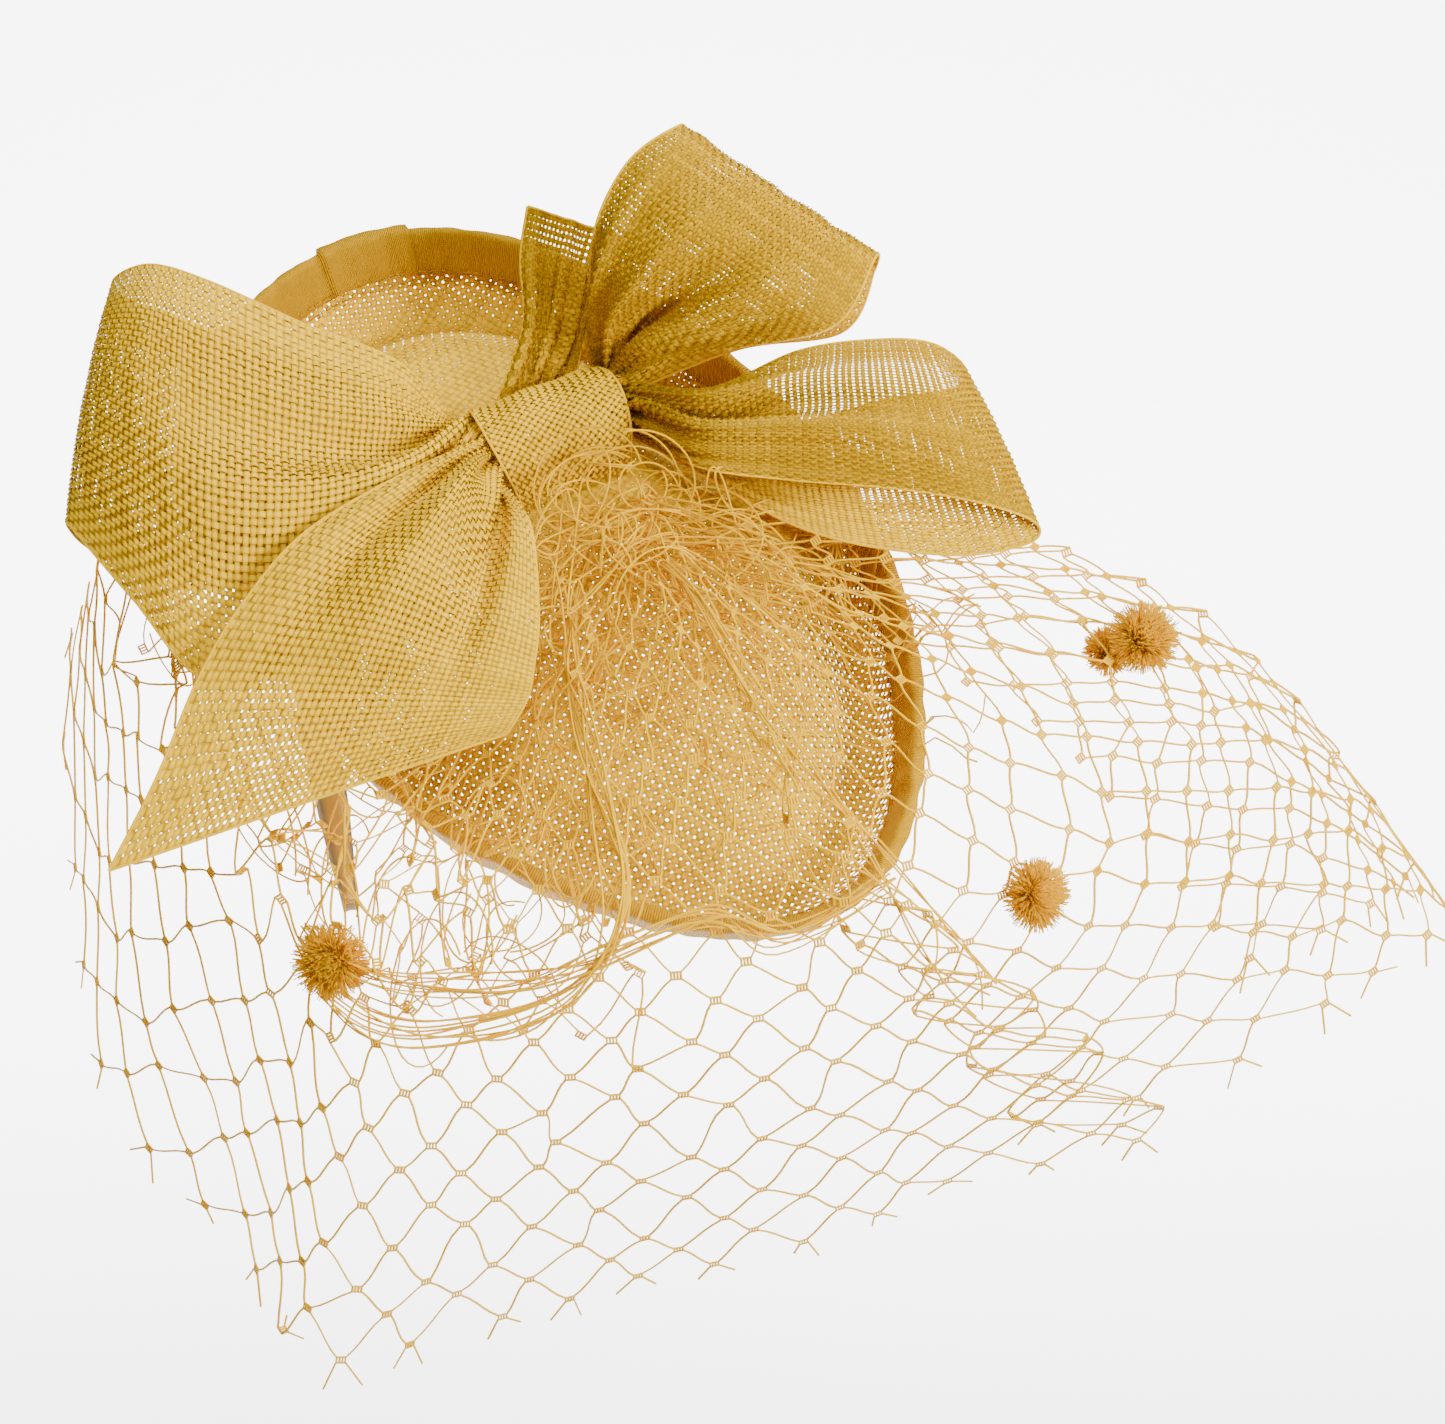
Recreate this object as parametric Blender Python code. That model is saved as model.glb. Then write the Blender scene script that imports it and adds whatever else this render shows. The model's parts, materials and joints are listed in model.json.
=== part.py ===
"""Birdcage veil on a small open-weave hat base, with a ribbon bow and chenille dots.

Everything is modelled in the hat's own frame, whose Z is square to the rim, and is then leaned
forwards by WORN_LEAN about X, as the hat sits on a head. Metres. The origin is the place under
the crown where the hat sits.
"""
import math
from collections import namedtuple

import bmesh
import bpy
from mathutils import Matrix, Vector

# Driving dimensions, in metres and degrees

WORN_LEAN = 28.0            # how far the hat leans forwards on the head
GAP = 0.0003                # left between pieces that touch

RIM_LENGTH = 0.231          # the hat base, along its long axis
RIM_WIDTH = 0.141
RIM_HEIGHT = 0.022          # brim's edge above the valley round the crown
RIM_POINT = 0.025           # how far the front end draws out to a point, as a share
RIM_POINT_SPREAD = 0.3      # how much of that the sides and the back keep
VALLEY_RADIUS = 0.87        # the valley round the crown, of the rim's radius
BASE_TURN = -54.5           # the long axis, seen from above, from +X
CROWN_HEIGHT = 0.022
CLOTH = 0.0012              # wall of the woven cloth

BINDING_DEPTH = 0.012       # the ribbon folded over the brim's edge, each side
BINDING_CLOTH = 0.0008

RIBBON_WIDTH = 0.090        # the bow's ribbon
BOW_RISE = 0.062            # top of the bow above the crown
LEFT_LOOP_LENGTH = 0.113
TOP_LOOP_LENGTH = 0.088
RIGHT_LOOP_LENGTH = 0.117
BIG_TAIL_LENGTH = 0.148
SMALL_TAIL_LENGTH = 0.058
PLEAT_DEPTH = 0.006
PLEAT_SECTIONS = 3.0        # sections from the knot over which the pleats run out
THROAT_DEPTHS = (0.5, 1.05) # how far into the knot a loop reaches, of half the knot's width
STANDING_START = -0.4       # the small tail's foot behind the knot, of half the knot's width
STANDING_END = 0.8

KNOT_X = -0.0015            # middle of the knot on the crown
KNOT_Y = 0.029
KNOT_TURN = 28.0            # the bow's axis through the knot, from +X
KNOT_WIDTH = 0.036          # along the bow's axis
KNOT_SPAN = 0.029           # across the bow's axis
KNOT_RISE = 0.021
KNOT_PINCH = 0.8            # width of its feet, of the band's width over the top
KNOT_SEAT = 0.0007          # from the crown's cloth to its feet
KNOT_CLOTH = 0.0016         # two layers of ribbon

VEIL_DEPTH = 0.229          # nine-inch netting, from gather to hem
VEIL_X = 0.015              # middle of the veil's gather
VEIL_Y = 0.010
VEIL_GATHER_RADIUS = 0.010
VEIL_STRAND = 0.0017
VEIL_COLUMNS = 12           # diamonds along the hem
VEIL_ROWS = 4               # diamonds from heading to hem

DOT_WIDTH = 0.0145          # chenille tufts on the net
DOT_THICKNESS = 0.009

CLIP_LENGTH = 0.058         # the hair clip under the base
CLIP_WIDTH = 0.0085
CLIP_TIP_WIDTH = 0.003
CLIP_STEEL = 0.0012
CLIP_TURN = 282.0           # where its tip points, seen from above
CLIP_SLOPE = 26.0           # how far its tip hangs below the brim's plane
CLIP_PLACE = -104.0         # where it is sewn under the valley, from the long axis
CLIP_SAG = 0.3              # how much the drop column bends it, of its length
CLIP_HOLLOW = 0.35          # how much it is hollowed across, of half its width
CLIP_ACROSS = 4             # strips across the blade

# Shape tables. Every number is a share of the size named beside it.

# Hat base from its middle out: of the rim's radius, and of the crown's or the rim's height
BaseRow = namedtuple("BaseRow", "radius crown rim")
BASE_ROWS = (
    BaseRow(0.00, 1.00, 0.00),
    BaseRow(0.28, 0.98, 0.00),
    BaseRow(0.50, 0.90, 0.00),
    BaseRow(0.66, 0.72, 0.00),
    BaseRow(0.77, 0.38, 0.00),
    BaseRow(0.83, 0.08, 0.00),
    BaseRow(VALLEY_RADIUS, 0.00, 0.00),
    BaseRow(0.91, 0.00, 0.10),
    BaseRow(0.95, 0.00, 0.36),
    BaseRow(1.00, 0.00, 1.00),
)

# A ribbon's sections: both edges, as shares of the piece's length (reach), of RIBBON_WIDTH
# (side) and of BOW_RISE above the crown (lift), and the bulge between them in RIBBON_WIDTH
Section = namedtuple("Section", "a_reach a_side a_lift b_reach b_side b_lift belly")
# A throat's ends in the knot: shares of the opening's half span and of its height
Throat = namedtuple("Throat", "a_across b_across depth")
# A pleat: its place across the ribbon, its width, its depth in PLEAT_DEPTH
Pleat = namedtuple("Pleat", "place width depth")
# A piece with no starting throat stands behind the knot's back foot
Ribbon = namedtuple("Ribbon", "name length heading side mouth start sections end pleats")

LEFT_LOOP = Ribbon(
    "bow_left_loop", LEFT_LOOP_LENGTH, 180.0, -1, -1,
    Throat(0.86, 0.10, 0.92),
    (
        Section(0.32, 0.08, 0.42, 0.28, -0.62, 0.32, 0.05),
        Section(0.51, 0.12, 0.58, 0.48, -0.86, 0.35, 0.07),
        Section(0.71, 0.21, 0.68, 0.65, -0.92, 0.39, 0.08),
        Section(0.84, 0.27, 0.68, 0.81, -0.70, 0.45, 0.06),
        Section(0.93, 0.28, 0.58, 0.97, -0.45, 0.42, 0.02),
        Section(0.92, 0.29, 0.45, 0.93, -0.48, 0.31, 0.00),
        Section(0.76, 0.24, 0.37, 0.72, -0.58, 0.26, 0.00),
        Section(0.47, 0.16, 0.29, 0.44, -0.46, 0.23, 0.00),
    ),
    Throat(0.80, 0.16, 0.40),
    (Pleat(0.38, 0.10, -1.0), Pleat(0.58, 0.12, 1.1), Pleat(0.80, 0.10, -0.6)),
)
BIG_TAIL = Ribbon(
    "bow_big_tail", BIG_TAIL_LENGTH, -118.0, -1, -1,
    Throat(-0.06, -0.86, 0.92),
    (
        Section(0.29, 0.13, 0.57, 0.27, -0.21, 0.50, 0.04),
        Section(0.47, 0.24, 0.61, 0.41, -0.37, 0.50, 0.05),
        Section(0.62, 0.27, 0.58, 0.49, -0.43, 0.46, 0.05),
        Section(0.75, 0.27, 0.50, 0.53, -0.45, 0.42, 0.03),
        Section(0.91, 0.22, 0.44, 0.57, -0.45, 0.39, 0.02),
        Section(1.06, 0.20, 0.36, 0.59, -0.44, 0.36, 0.01),
    ),
    None,
    (Pleat(0.22, 0.09, -0.6), Pleat(0.45, 0.10, 0.6), Pleat(0.72, 0.09, -1.5)),
)
TOP_LOOP = Ribbon(
    "bow_top_loop", TOP_LOOP_LENGTH, 38.0, 1, 1,
    Throat(0.88, 0.18, 0.92),
    (
        Section(0.26, 0.15, 0.48, 0.36, -0.12, 0.40, 0.04),
        Section(0.32, 0.19, 0.78, 0.54, -0.28, 0.50, 0.06),
        Section(0.46, 0.22, 0.97, 0.70, -0.39, 0.61, 0.06),
        Section(0.61, 0.21, 1.03, 0.88, -0.32, 0.71, 0.00),
        Section(0.66, 0.24, 0.92, 0.91, -0.29, 0.57, -0.01),
        Section(0.55, 0.26, 0.66, 0.77, -0.33, 0.40, 0.00),
        Section(0.40, 0.24, 0.34, 0.55, -0.14, 0.26, 0.00),
    ),
    Throat(0.82, 0.28, 0.50),
    (Pleat(0.30, 0.11, 0.6), Pleat(0.55, 0.10, -1.2), Pleat(0.78, 0.10, 0.7)),
)
RIGHT_LOOP = Ribbon(
    "bow_right_loop", RIGHT_LOOP_LENGTH, -6.0, 1, 1,
    Throat(0.04, -0.82, 0.92),
    (
        Section(0.33, 0.03, 0.43, 0.32, -0.19, 0.36, 0.03),
        Section(0.51, 0.10, 0.58, 0.51, -0.21, 0.36, 0.06),
        Section(0.67, 0.12, 0.65, 0.74, -0.22, 0.38, 0.07),
        Section(0.78, 0.12, 0.65, 0.91, -0.24, 0.37, 0.04),
        Section(0.85, 0.12, 0.52, 1.02, -0.24, 0.27, 0.01),
        Section(0.83, 0.13, 0.38, 1.00, -0.28, 0.21, 0.00),
        Section(0.70, 0.12, 0.30, 0.83, -0.33, 0.20, 0.00),
        Section(0.48, 0.03, 0.26, 0.54, -0.28, 0.20, 0.00),
    ),
    Throat(0.00, -0.76, 0.46),
    (Pleat(0.25, 0.08, 0.7), Pleat(0.45, 0.08, -1.0), Pleat(0.66, 0.09, 0.6)),
)
SMALL_TAIL = Ribbon(
    "bow_small_tail", SMALL_TAIL_LENGTH, 100.0, 1, 1,
    None,
    (
        Section(0.52, 0.03, 0.22, 0.52, -0.14, 0.12, 0.02),
        Section(0.72, 0.01, 0.42, 0.70, -0.22, 0.22, 0.03),
        Section(0.88, -0.03, 0.55, 0.82, -0.30, 0.34, 0.02),
    ),
    None,
    (Pleat(0.5, 0.14, 0.5),),
)
RIBBONS = (LEFT_LOOP, BIG_TAIL, TOP_LOOP, RIGHT_LOOP, SMALL_TAIL)

# The veil's columns from its left end round the front to its right end: where each one heads,
# near the gather and at the hem in degrees, and the reach and height of its shoulder, crest and
# hem as shares of VEIL_DEPTH
VeilColumn = namedtuple(
    "VeilColumn", "heading hem_heading shoulder shoulder_z crest crest_z hem hem_z")
VEIL_TABLE = (
    VeilColumn(184, 176, 0.26, 0.120, 0.50, 0.128, 0.655, -0.20),
    VeilColumn(202, 201, 0.26, 0.120, 0.50, 0.132, 0.670, -0.27),
    VeilColumn(219, 221, 0.26, 0.120, 0.50, 0.132, 0.745, -0.31),
    VeilColumn(236, 238, 0.26, 0.124, 0.53, 0.130, 0.770, -0.32),
    VeilColumn(248, 249, 0.26, 0.128, 0.57, 0.118, 0.855, -0.27),
    VeilColumn(260, 259, 0.25, 0.160, 0.58, 0.120, 0.760, -0.32),
    VeilColumn(274, 272, 0.25, 0.215, 0.58, 0.135, 0.690, -0.35),
    VeilColumn(288, 288, 0.25, 0.225, 0.59, 0.140, 0.680, -0.34),
    VeilColumn(300, 303, 0.25, 0.220, 0.60, 0.140, 0.700, -0.31),
    VeilColumn(314, 318, 0.25, 0.200, 0.61, 0.120, 0.785, -0.26),
    VeilColumn(329, 330, 0.25, 0.160, 0.62, 0.100, 0.885, -0.18),
    VeilColumn(345, 338, 0.26, 0.130, 0.65, 0.095, 0.955, -0.15),
    VeilColumn(358, 342, 0.32, 0.124, 0.65, 0.045, 0.935, -0.19),
)
# How far down the net each station lies, as a share of its depth
VEIL_STATIONS = (0.04, 0.28, 0.62, 1.0)
VEIL_HEADING_SHARE = 0.13   # the gathered heading, down to where the open net starts
VEIL_HEADING_MIDDLE = 0.078
VEIL_GATHER_LIFT = 0.012    # height of the gather above the crown, in VEIL_DEPTH
SHARPEST_CORNER = 0.35      # least sine of a gap's corner when its strands are set out

# Chenille dots: the strand each one sits on, from one knot of the net to another in columns and
# half rows from the heading, how far along it, and whether it is outside (1) or inside (-1)
Dot = namedtuple("Dot", "column half_row to_column to_half_row share side")
DOTS = (
    Dot(3.5, 5, 4.0, 4, 0.1, 1),
    Dot(8.5, 5, 9.0, 4, 0.3, 1),
    Dot(11.0, 4, 10.5, 3, 0.16, 1),
    Dot(11.0, 4, 10.5, 3, 0.3, -1),
)
DOT_SEAT_OUTSIDE = 0.0005   # from the net's outer face to a tuft's underside
DOT_SEAT_INSIDE = 0.0024    # the same for a tuft on the inside, past the strand
DOT_TUFT = 0.07             # how deep its surface is tufted, as a share
DOT_TUFT_TURN = 2.4         # from one tuft to the next, in radians

# The clip's outline from its bend to its tip: of its length, its width and its own drop
ClipRow = namedtuple("ClipRow", "along width drop")
CLIP_ROWS = (
    ClipRow(0.00, 0.90, 0.00),
    ClipRow(0.10, 1.00, 0.02),
    ClipRow(0.35, 1.00, 0.05),
    ClipRow(0.60, 0.86, 0.08),
    ClipRow(0.80, 0.64, 0.06),
    ClipRow(0.93, 0.42, 0.03),
    ClipRow(1.00, 0.18, 0.00),
)

# Mesh resolution

BASE_ROUND = 44
BINDING_POINTS = 9          # corners of the binding's section
RIBBON_STEPS = 3            # stations between two sections of a ribbon
RIBBON_ACROSS = 10
KNOT_STEPS = 14
KNOT_ACROSS = 6
NORMAL_STEP = 0.02          # how far apart the base is read to find its slope
SMOOTH_ANGLE = 50.0         # edges flatter than this are shaded round


# Scene and materials

def clear_scene():
    """Remove every object that the scene starts with."""
    for old in list(bpy.data.objects):
        bpy.data.objects.remove(old)


def material(name, colour, roughness, metallic=0.0):
    """A Principled material."""
    made = bpy.data.materials.new(name)
    made.use_nodes = True
    shader = made.node_tree.nodes["Principled BSDF"]
    shader.inputs["Base Color"].default_value = (*colour, 1.0)
    shader.inputs["Roughness"].default_value = roughness
    shader.inputs["Metallic"].default_value = metallic
    return made


def add_object(name, mesh, finish, parent):
    """Link a mesh as one named piece of the hat, round forms shaded smooth."""
    piece = bpy.data.objects.new(name, mesh)
    bpy.context.collection.objects.link(piece)
    mesh.materials.append(finish)
    mesh.shade_smooth()
    mesh.set_sharp_from_angle(angle=math.radians(SMOOTH_ANGLE))
    piece.parent = parent
    return piece


# Small geometry helpers

def polar(degrees):
    """Unit vector in plan."""
    return Vector((math.cos(math.radians(degrees)), math.sin(math.radians(degrees)), 0.0))


def spline(values, place):
    """Catmull-Rom curve through a list of values, place running from 0 to 1."""
    spans = len(values) - 1
    along = min(max(place, 0.0), 1.0) * spans
    first = min(int(along), spans - 1)
    part = along - first
    p1, p2 = values[first], values[first + 1]
    p0 = values[first - 1] if first > 0 else p1 * 2 - p2
    p3 = values[first + 2] if first + 2 <= spans else p2 * 2 - p1
    return (p1 * 2 + (p2 - p0) * part + (p0 * 2 - p1 * 5 + p2 * 4 - p3) * part ** 2
            + (p1 * 3 - p0 - p2 * 3 + p3) * part ** 3) * 0.5


def table_value(rows, key, column, place):
    """A table's column read at a place between its rows, without overshoot."""
    for low, high in zip(rows, rows[1:]):
        if place <= getattr(high, key):
            width = getattr(high, key) - getattr(low, key)
            share = max((place - getattr(low, key)) / width, 0.0)
            return getattr(low, column) * (1 - share) + getattr(high, column) * share
    return getattr(rows[-1], column)


def grid_normals(grid):
    """Unit normals of a grid of points, by its neighbours."""
    rows, columns = len(grid), len(grid[0])
    normals = []
    for i in range(rows):
        line = []
        for j in range(columns):
            along = grid[min(i + 1, rows - 1)][j] - grid[max(i - 1, 0)][j]
            across = grid[i][min(j + 1, columns - 1)] - grid[i][max(j - 1, 0)]
            line.append(along.cross(across).normalized())
        normals.append(line)
    return normals


def sheet_mesh(name, grid, wall):
    """A closed solid: a grid of points thickened by half the wall to each side."""
    rows, columns = len(grid), len(grid[0])
    normals = grid_normals(grid)
    mesh = bmesh.new()
    faces = []
    for way in (0.5, -0.5):
        faces.append([[mesh.verts.new(grid[i][j] + normals[i][j] * wall * way)
                       for j in range(columns)] for i in range(rows)])
    front, back = faces
    for i in range(rows - 1):
        for j in range(columns - 1):
            mesh.faces.new((front[i][j], front[i + 1][j], front[i + 1][j + 1], front[i][j + 1]))
            mesh.faces.new((back[i][j], back[i][j + 1], back[i + 1][j + 1], back[i + 1][j]))
    for i in range(rows - 1):
        mesh.faces.new((front[i][0], back[i][0], back[i + 1][0], front[i + 1][0]))
        mesh.faces.new((front[i + 1][-1], back[i + 1][-1], back[i][-1], front[i][-1]))
    for j in range(columns - 1):
        mesh.faces.new((front[0][j + 1], back[0][j + 1], back[0][j], front[0][j]))
        mesh.faces.new((front[-1][j], back[-1][j], back[-1][j + 1], front[-1][j + 1]))
    return finish_mesh(name, mesh)


def made_mesh(name, mesh):
    """A mesh made of the bmesh, which is freed."""
    made = bpy.data.meshes.new(name)
    mesh.to_mesh(made)
    mesh.free()
    return made


def finish_mesh(name, mesh):
    """Turn the faces outwards and make a mesh of the bmesh."""
    bmesh.ops.recalc_face_normals(mesh, faces=mesh.faces[:])
    return made_mesh(name, mesh)


# Hat base

def rim_radius(turn):
    """Plan radius of the rim at an angle from the long axis, drawn out at the front end."""
    round_share = (math.cos(turn) + RIM_POINT_SPREAD) / (1 + RIM_POINT_SPREAD)
    share = 1.0 + RIM_POINT * math.cos(4 * turn) * round_share
    along = RIM_LENGTH / 2 * math.cos(turn)
    aside = RIM_WIDTH / 2 * math.sin(turn)
    return Vector((along * share, aside * share))


def base_height(radius):
    """Height of the base's middle surface at a share of the rim's radius."""
    return (CROWN_HEIGHT * table_value(BASE_ROWS, "radius", "crown", radius)
            + RIM_HEIGHT * table_value(BASE_ROWS, "radius", "rim", radius))


def base_point(turn, radius):
    """A point of the base's middle surface."""
    flat = rim_radius(turn) * radius
    long_axis = polar(BASE_TURN)
    short_axis = polar(BASE_TURN + 90)
    return long_axis * flat.x + short_axis * flat.y + Vector((0, 0, base_height(radius)))


def crown_height(x, y):
    """Height of the base's middle surface above a place in plan."""
    place = Vector((x, y, 0))
    along = place.dot(polar(BASE_TURN)) / (RIM_LENGTH / 2)
    aside = place.dot(polar(BASE_TURN + 90)) / (RIM_WIDTH / 2)
    return base_height(math.hypot(along, aside))


def round_mesh(profile_at, stations):
    """A closed solid: a ring of closed profiles round the hat's middle."""
    mesh = bmesh.new()
    rings = []
    for k in range(BASE_ROUND):
        turn = 2 * math.pi * k / BASE_ROUND
        rings.append([mesh.verts.new(point) for point in profile_at(turn)])
    for k in range(BASE_ROUND):
        ring, after = rings[k], rings[(k + 1) % BASE_ROUND]
        for i in range(stations):
            j = (i + 1) % stations
            mesh.faces.new((ring[i], ring[j], after[j], after[i]))
    return mesh


def wall_normal(turn, radius):
    """Normal of the base's surface, pointing up and in."""
    outer = base_point(turn, min(radius + NORMAL_STEP, 1.0))
    inner = base_point(turn, max(radius - NORMAL_STEP, 0.0))
    along = outer - inner
    around = base_point(turn + NORMAL_STEP, radius) - base_point(turn - NORMAL_STEP, radius)
    return along.cross(around).normalized()


def base_mesh():
    """The saucer: domed crown, valley and upturned brim, one cloth thick."""
    mesh = bmesh.new()
    sides = []
    for way in (0.5, -0.5):
        middle = mesh.verts.new(base_point(0, 0) + Vector((0, 0, CLOTH * way)))
        rings = []
        for row in BASE_ROWS[1:]:
            ring = []
            for k in range(BASE_ROUND):
                turn = 2 * math.pi * k / BASE_ROUND
                point = base_point(turn, row.radius)
                ring.append(mesh.verts.new(point + wall_normal(turn, row.radius) * CLOTH * way))
            rings.append(ring)
        sides.append((middle, rings))
    for middle, rings in sides:
        for k in range(BASE_ROUND):
            after = (k + 1) % BASE_ROUND
            mesh.faces.new((middle, rings[0][k], rings[0][after]))
            for ring, outer in zip(rings, rings[1:]):
                mesh.faces.new((ring[k], outer[k], outer[after], ring[after]))
    upper, lower = sides[0][1][-1], sides[1][1][-1]
    for k in range(BASE_ROUND):
        after = (k + 1) % BASE_ROUND
        mesh.faces.new((upper[k], lower[k], lower[after], upper[after]))
    return finish_mesh("base", mesh)


def binding_profile(turn):
    """Folded ribbon's section at one place: down the brim's inside, over its edge, down outside."""
    edge = base_point(turn, 1.0)
    inner = CLOTH / 2 + GAP
    outer = inner + BINDING_CLOTH
    foot = BASE_ROWS[-2].radius
    wall_length = (edge - base_point(turn, foot)).length
    inset = 1.0 - (1.0 - foot) * BINDING_DEPTH / wall_length
    normal = wall_normal(turn, (inset + 1.0) / 2)
    hem = base_point(turn, inset)
    up = (edge - hem).normalized()
    top = edge + up * GAP
    crest = edge + up * outer
    return (
        hem + normal * inner, top + normal * inner, top - normal * inner, hem - normal * inner,
        hem - normal * outer, top - normal * outer, crest, top + normal * outer,
        hem + normal * outer,
    )


def binding_mesh():
    """The ribbon bound over the brim's edge."""
    mesh = round_mesh(binding_profile, BINDING_POINTS)
    return finish_mesh("rim_binding", mesh)


# Knot and bow

def knot_frame(along, across, up):
    """A point in the knot's own directions: along the bow, across it and up from the crown."""
    place = Vector((KNOT_X, KNOT_Y, 0))
    place += polar(KNOT_TURN) * along + polar(KNOT_TURN + 90) * across
    foot = crown_height(place.x, place.y) + CLOTH / 2 + KNOT_SEAT
    return place + Vector((0, 0, foot + up))


def knot_mesh():
    """The band of ribbon over the bow's middle, an arch with both feet on the crown."""
    grid = []
    half = KNOT_SPAN / 2 - KNOT_CLOTH / 2
    rise = KNOT_RISE - KNOT_CLOTH / 2
    for i in range(KNOT_STEPS + 1):
        turn = math.pi * i / KNOT_STEPS
        line = []
        for j in range(KNOT_ACROSS + 1):
            across = j / KNOT_ACROSS * 2 - 1
            spread = KNOT_PINCH + (1 - KNOT_PINCH) * math.sin(turn)
            line.append(knot_frame(
                KNOT_WIDTH / 2 * across * spread,
                half * math.cos(turn),
                rise * math.sin(turn),
            ))
        grid.append(line)
    return sheet_mesh("bow_knot", grid, KNOT_CLOTH)


def throat_point(mouth, along, across, depth):
    """A point in the knot's opening: shares of its half width, half span and inner height."""
    room = KNOT_CLOTH + CLOTH / 2 + GAP
    half = KNOT_SPAN / 2 - room
    ceiling = (KNOT_RISE - room) * math.sqrt(max(1 - across ** 2, 0.0))
    low = CLOTH / 2 + GAP
    return knot_frame(
        mouth * KNOT_WIDTH / 2 * along, half * across, max(ceiling * depth, low))


def section_edges(ribbon, section):
    """Both edge points of one section of a ribbon."""
    forward = polar(ribbon.heading)
    aside = polar(ribbon.heading + 90 * ribbon.side)
    centre = Vector((KNOT_X, KNOT_Y, CROWN_HEIGHT))
    points = []
    for reach, side, lift in (
        (section.a_reach, section.a_side, section.a_lift),
        (section.b_reach, section.b_side, section.b_lift),
    ):
        points.append(centre + forward * reach * ribbon.length
                      + aside * side * RIBBON_WIDTH + Vector((0, 0, lift * BOW_RISE)))
    return points


def standing_line(up):
    """A short ribbon's foot, standing on the crown behind the knot."""
    back = KNOT_SPAN / 2 + KNOT_CLOTH / 2 + CLOTH / 2 + GAP * 2
    line = []
    for j in range(RIBBON_ACROSS + 1):
        share = j / RIBBON_ACROSS
        along = KNOT_WIDTH / 2 * (STANDING_START * (1 - share) + STANDING_END * share)
        line.append(knot_frame(along, back, up))
    return line


def throat_line(ribbon, throat, along):
    """A ribbon's line across the knot's opening, under its arch."""
    line = []
    for j in range(RIBBON_ACROSS + 1):
        share = j / RIBBON_ACROSS
        across = throat.a_across * (1 - share) + throat.b_across * share
        line.append(throat_point(ribbon.mouth, along, across, throat.depth))
    return line


def pleat_wave(ribbon, across):
    """Height of the pleats at a place across a ribbon."""
    total = 0.0
    for pleat in ribbon.pleats:
        total += pleat.depth * math.exp(-((across - pleat.place) / pleat.width) ** 2)
    return total * PLEAT_DEPTH


def ribbon_grid(ribbon):
    """A ribbon's middle surface as lines across it, from its throat to its end or back."""
    if ribbon.start:
        lines = [throat_line(ribbon, ribbon.start, along) for along in THROAT_DEPTHS]
    else:
        lines = [standing_line(GAP), standing_line(KNOT_RISE / 4)]
    edges = [section_edges(ribbon, section) for section in ribbon.sections]
    for number, section in enumerate(ribbon.sections):
        a, b = edges[number]
        before = edges[max(number - 1, 0)]
        after = edges[min(number + 1, len(edges) - 1)]
        forward = (after[0] + after[1]) - (before[0] + before[1])
        normal = forward.cross(b - a).normalized() * -ribbon.side
        fade = max(1.0 - number / PLEAT_SECTIONS, 0.0)
        line = []
        for j in range(RIBBON_ACROSS + 1):
            share = j / RIBBON_ACROSS
            bulge = section.belly * RIBBON_WIDTH * 4 * share * (1 - share)
            pleat = pleat_wave(ribbon, share) * fade
            line.append(a.lerp(b, share) + normal * (bulge + pleat))
        lines.append(line)
    if ribbon.end:
        lines += [throat_line(ribbon, ribbon.end, along) for along in reversed(THROAT_DEPTHS)]
    steps = (len(lines) - 1) * RIBBON_STEPS
    columns = list(zip(*lines))
    return [[spline(column, i / steps) for column in columns] for i in range(steps + 1)]


# Veil

def veil_column(place):
    """The veil's table read at a place from 0, its left end, to 1, its right end."""
    columns = [Vector(column[:4]) for column in VEIL_TABLE]
    others = [Vector(column[4:]) for column in VEIL_TABLE]
    first = spline(columns, place)
    second = spline(others, place)
    return VeilColumn(*first, *second)


def veil_point(place, down):
    """A point of the veil: place from left end to right end, down from gather to hem."""
    column = veil_column(place)
    gather_z = crown_height(VEIL_X, VEIL_Y) / VEIL_DEPTH + VEIL_GATHER_LIFT
    stations = [
        Vector((VEIL_GATHER_RADIUS / VEIL_DEPTH, gather_z)),
        Vector((column.shoulder, column.shoulder_z)),
        Vector((column.crest, column.crest_z)),
        Vector((column.hem, column.hem_z)),
    ]
    low = VEIL_STATIONS[0]
    spans = len(stations) - 1
    down = max(down, low)
    for number in range(spans):
        if down <= VEIL_STATIONS[number + 1]:
            break
    span = VEIL_STATIONS[number + 1] - VEIL_STATIONS[number]
    along = (number + (down - VEIL_STATIONS[number]) / span) / spans
    reach, lift = spline(stations, along) * VEIL_DEPTH
    blend = max((down - VEIL_STATIONS[1]) / (1 - VEIL_STATIONS[1]), 0.0)
    heading = column.heading * (1 - blend) + column.hem_heading * blend
    return Vector((VEIL_X, VEIL_Y, 0)) + polar(heading) * reach + Vector((0, 0, lift))


def lattice_node(column, half_row):
    """A knot of the coarse net, in columns from the left end and half rows from the heading."""
    down = VEIL_HEADING_SHARE + (1 - VEIL_HEADING_SHARE) * half_row / (2 * VEIL_ROWS)
    return veil_point(column / VEIL_COLUMNS, down)


def veil_cells():
    """Every gap of the coarse net as a ring of its knots: diamonds, and halves at the borders."""
    cells = []
    for half_row in range(2 * VEIL_ROWS + 1):
        shift = 0.0 if half_row % 2 else 0.5
        for number in range(VEIL_COLUMNS + 1):
            middle = number + shift
            corners = ((middle, half_row - 1), (middle + 0.5, half_row),
                       (middle, half_row + 1), (middle - 0.5, half_row))
            inside = [
                corner for corner in corners
                if 0 <= corner[0] <= VEIL_COLUMNS and 0 <= corner[1] <= 2 * VEIL_ROWS]
            if len(inside) < 3:
                continue
            cells.append(inside)
    return cells


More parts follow.
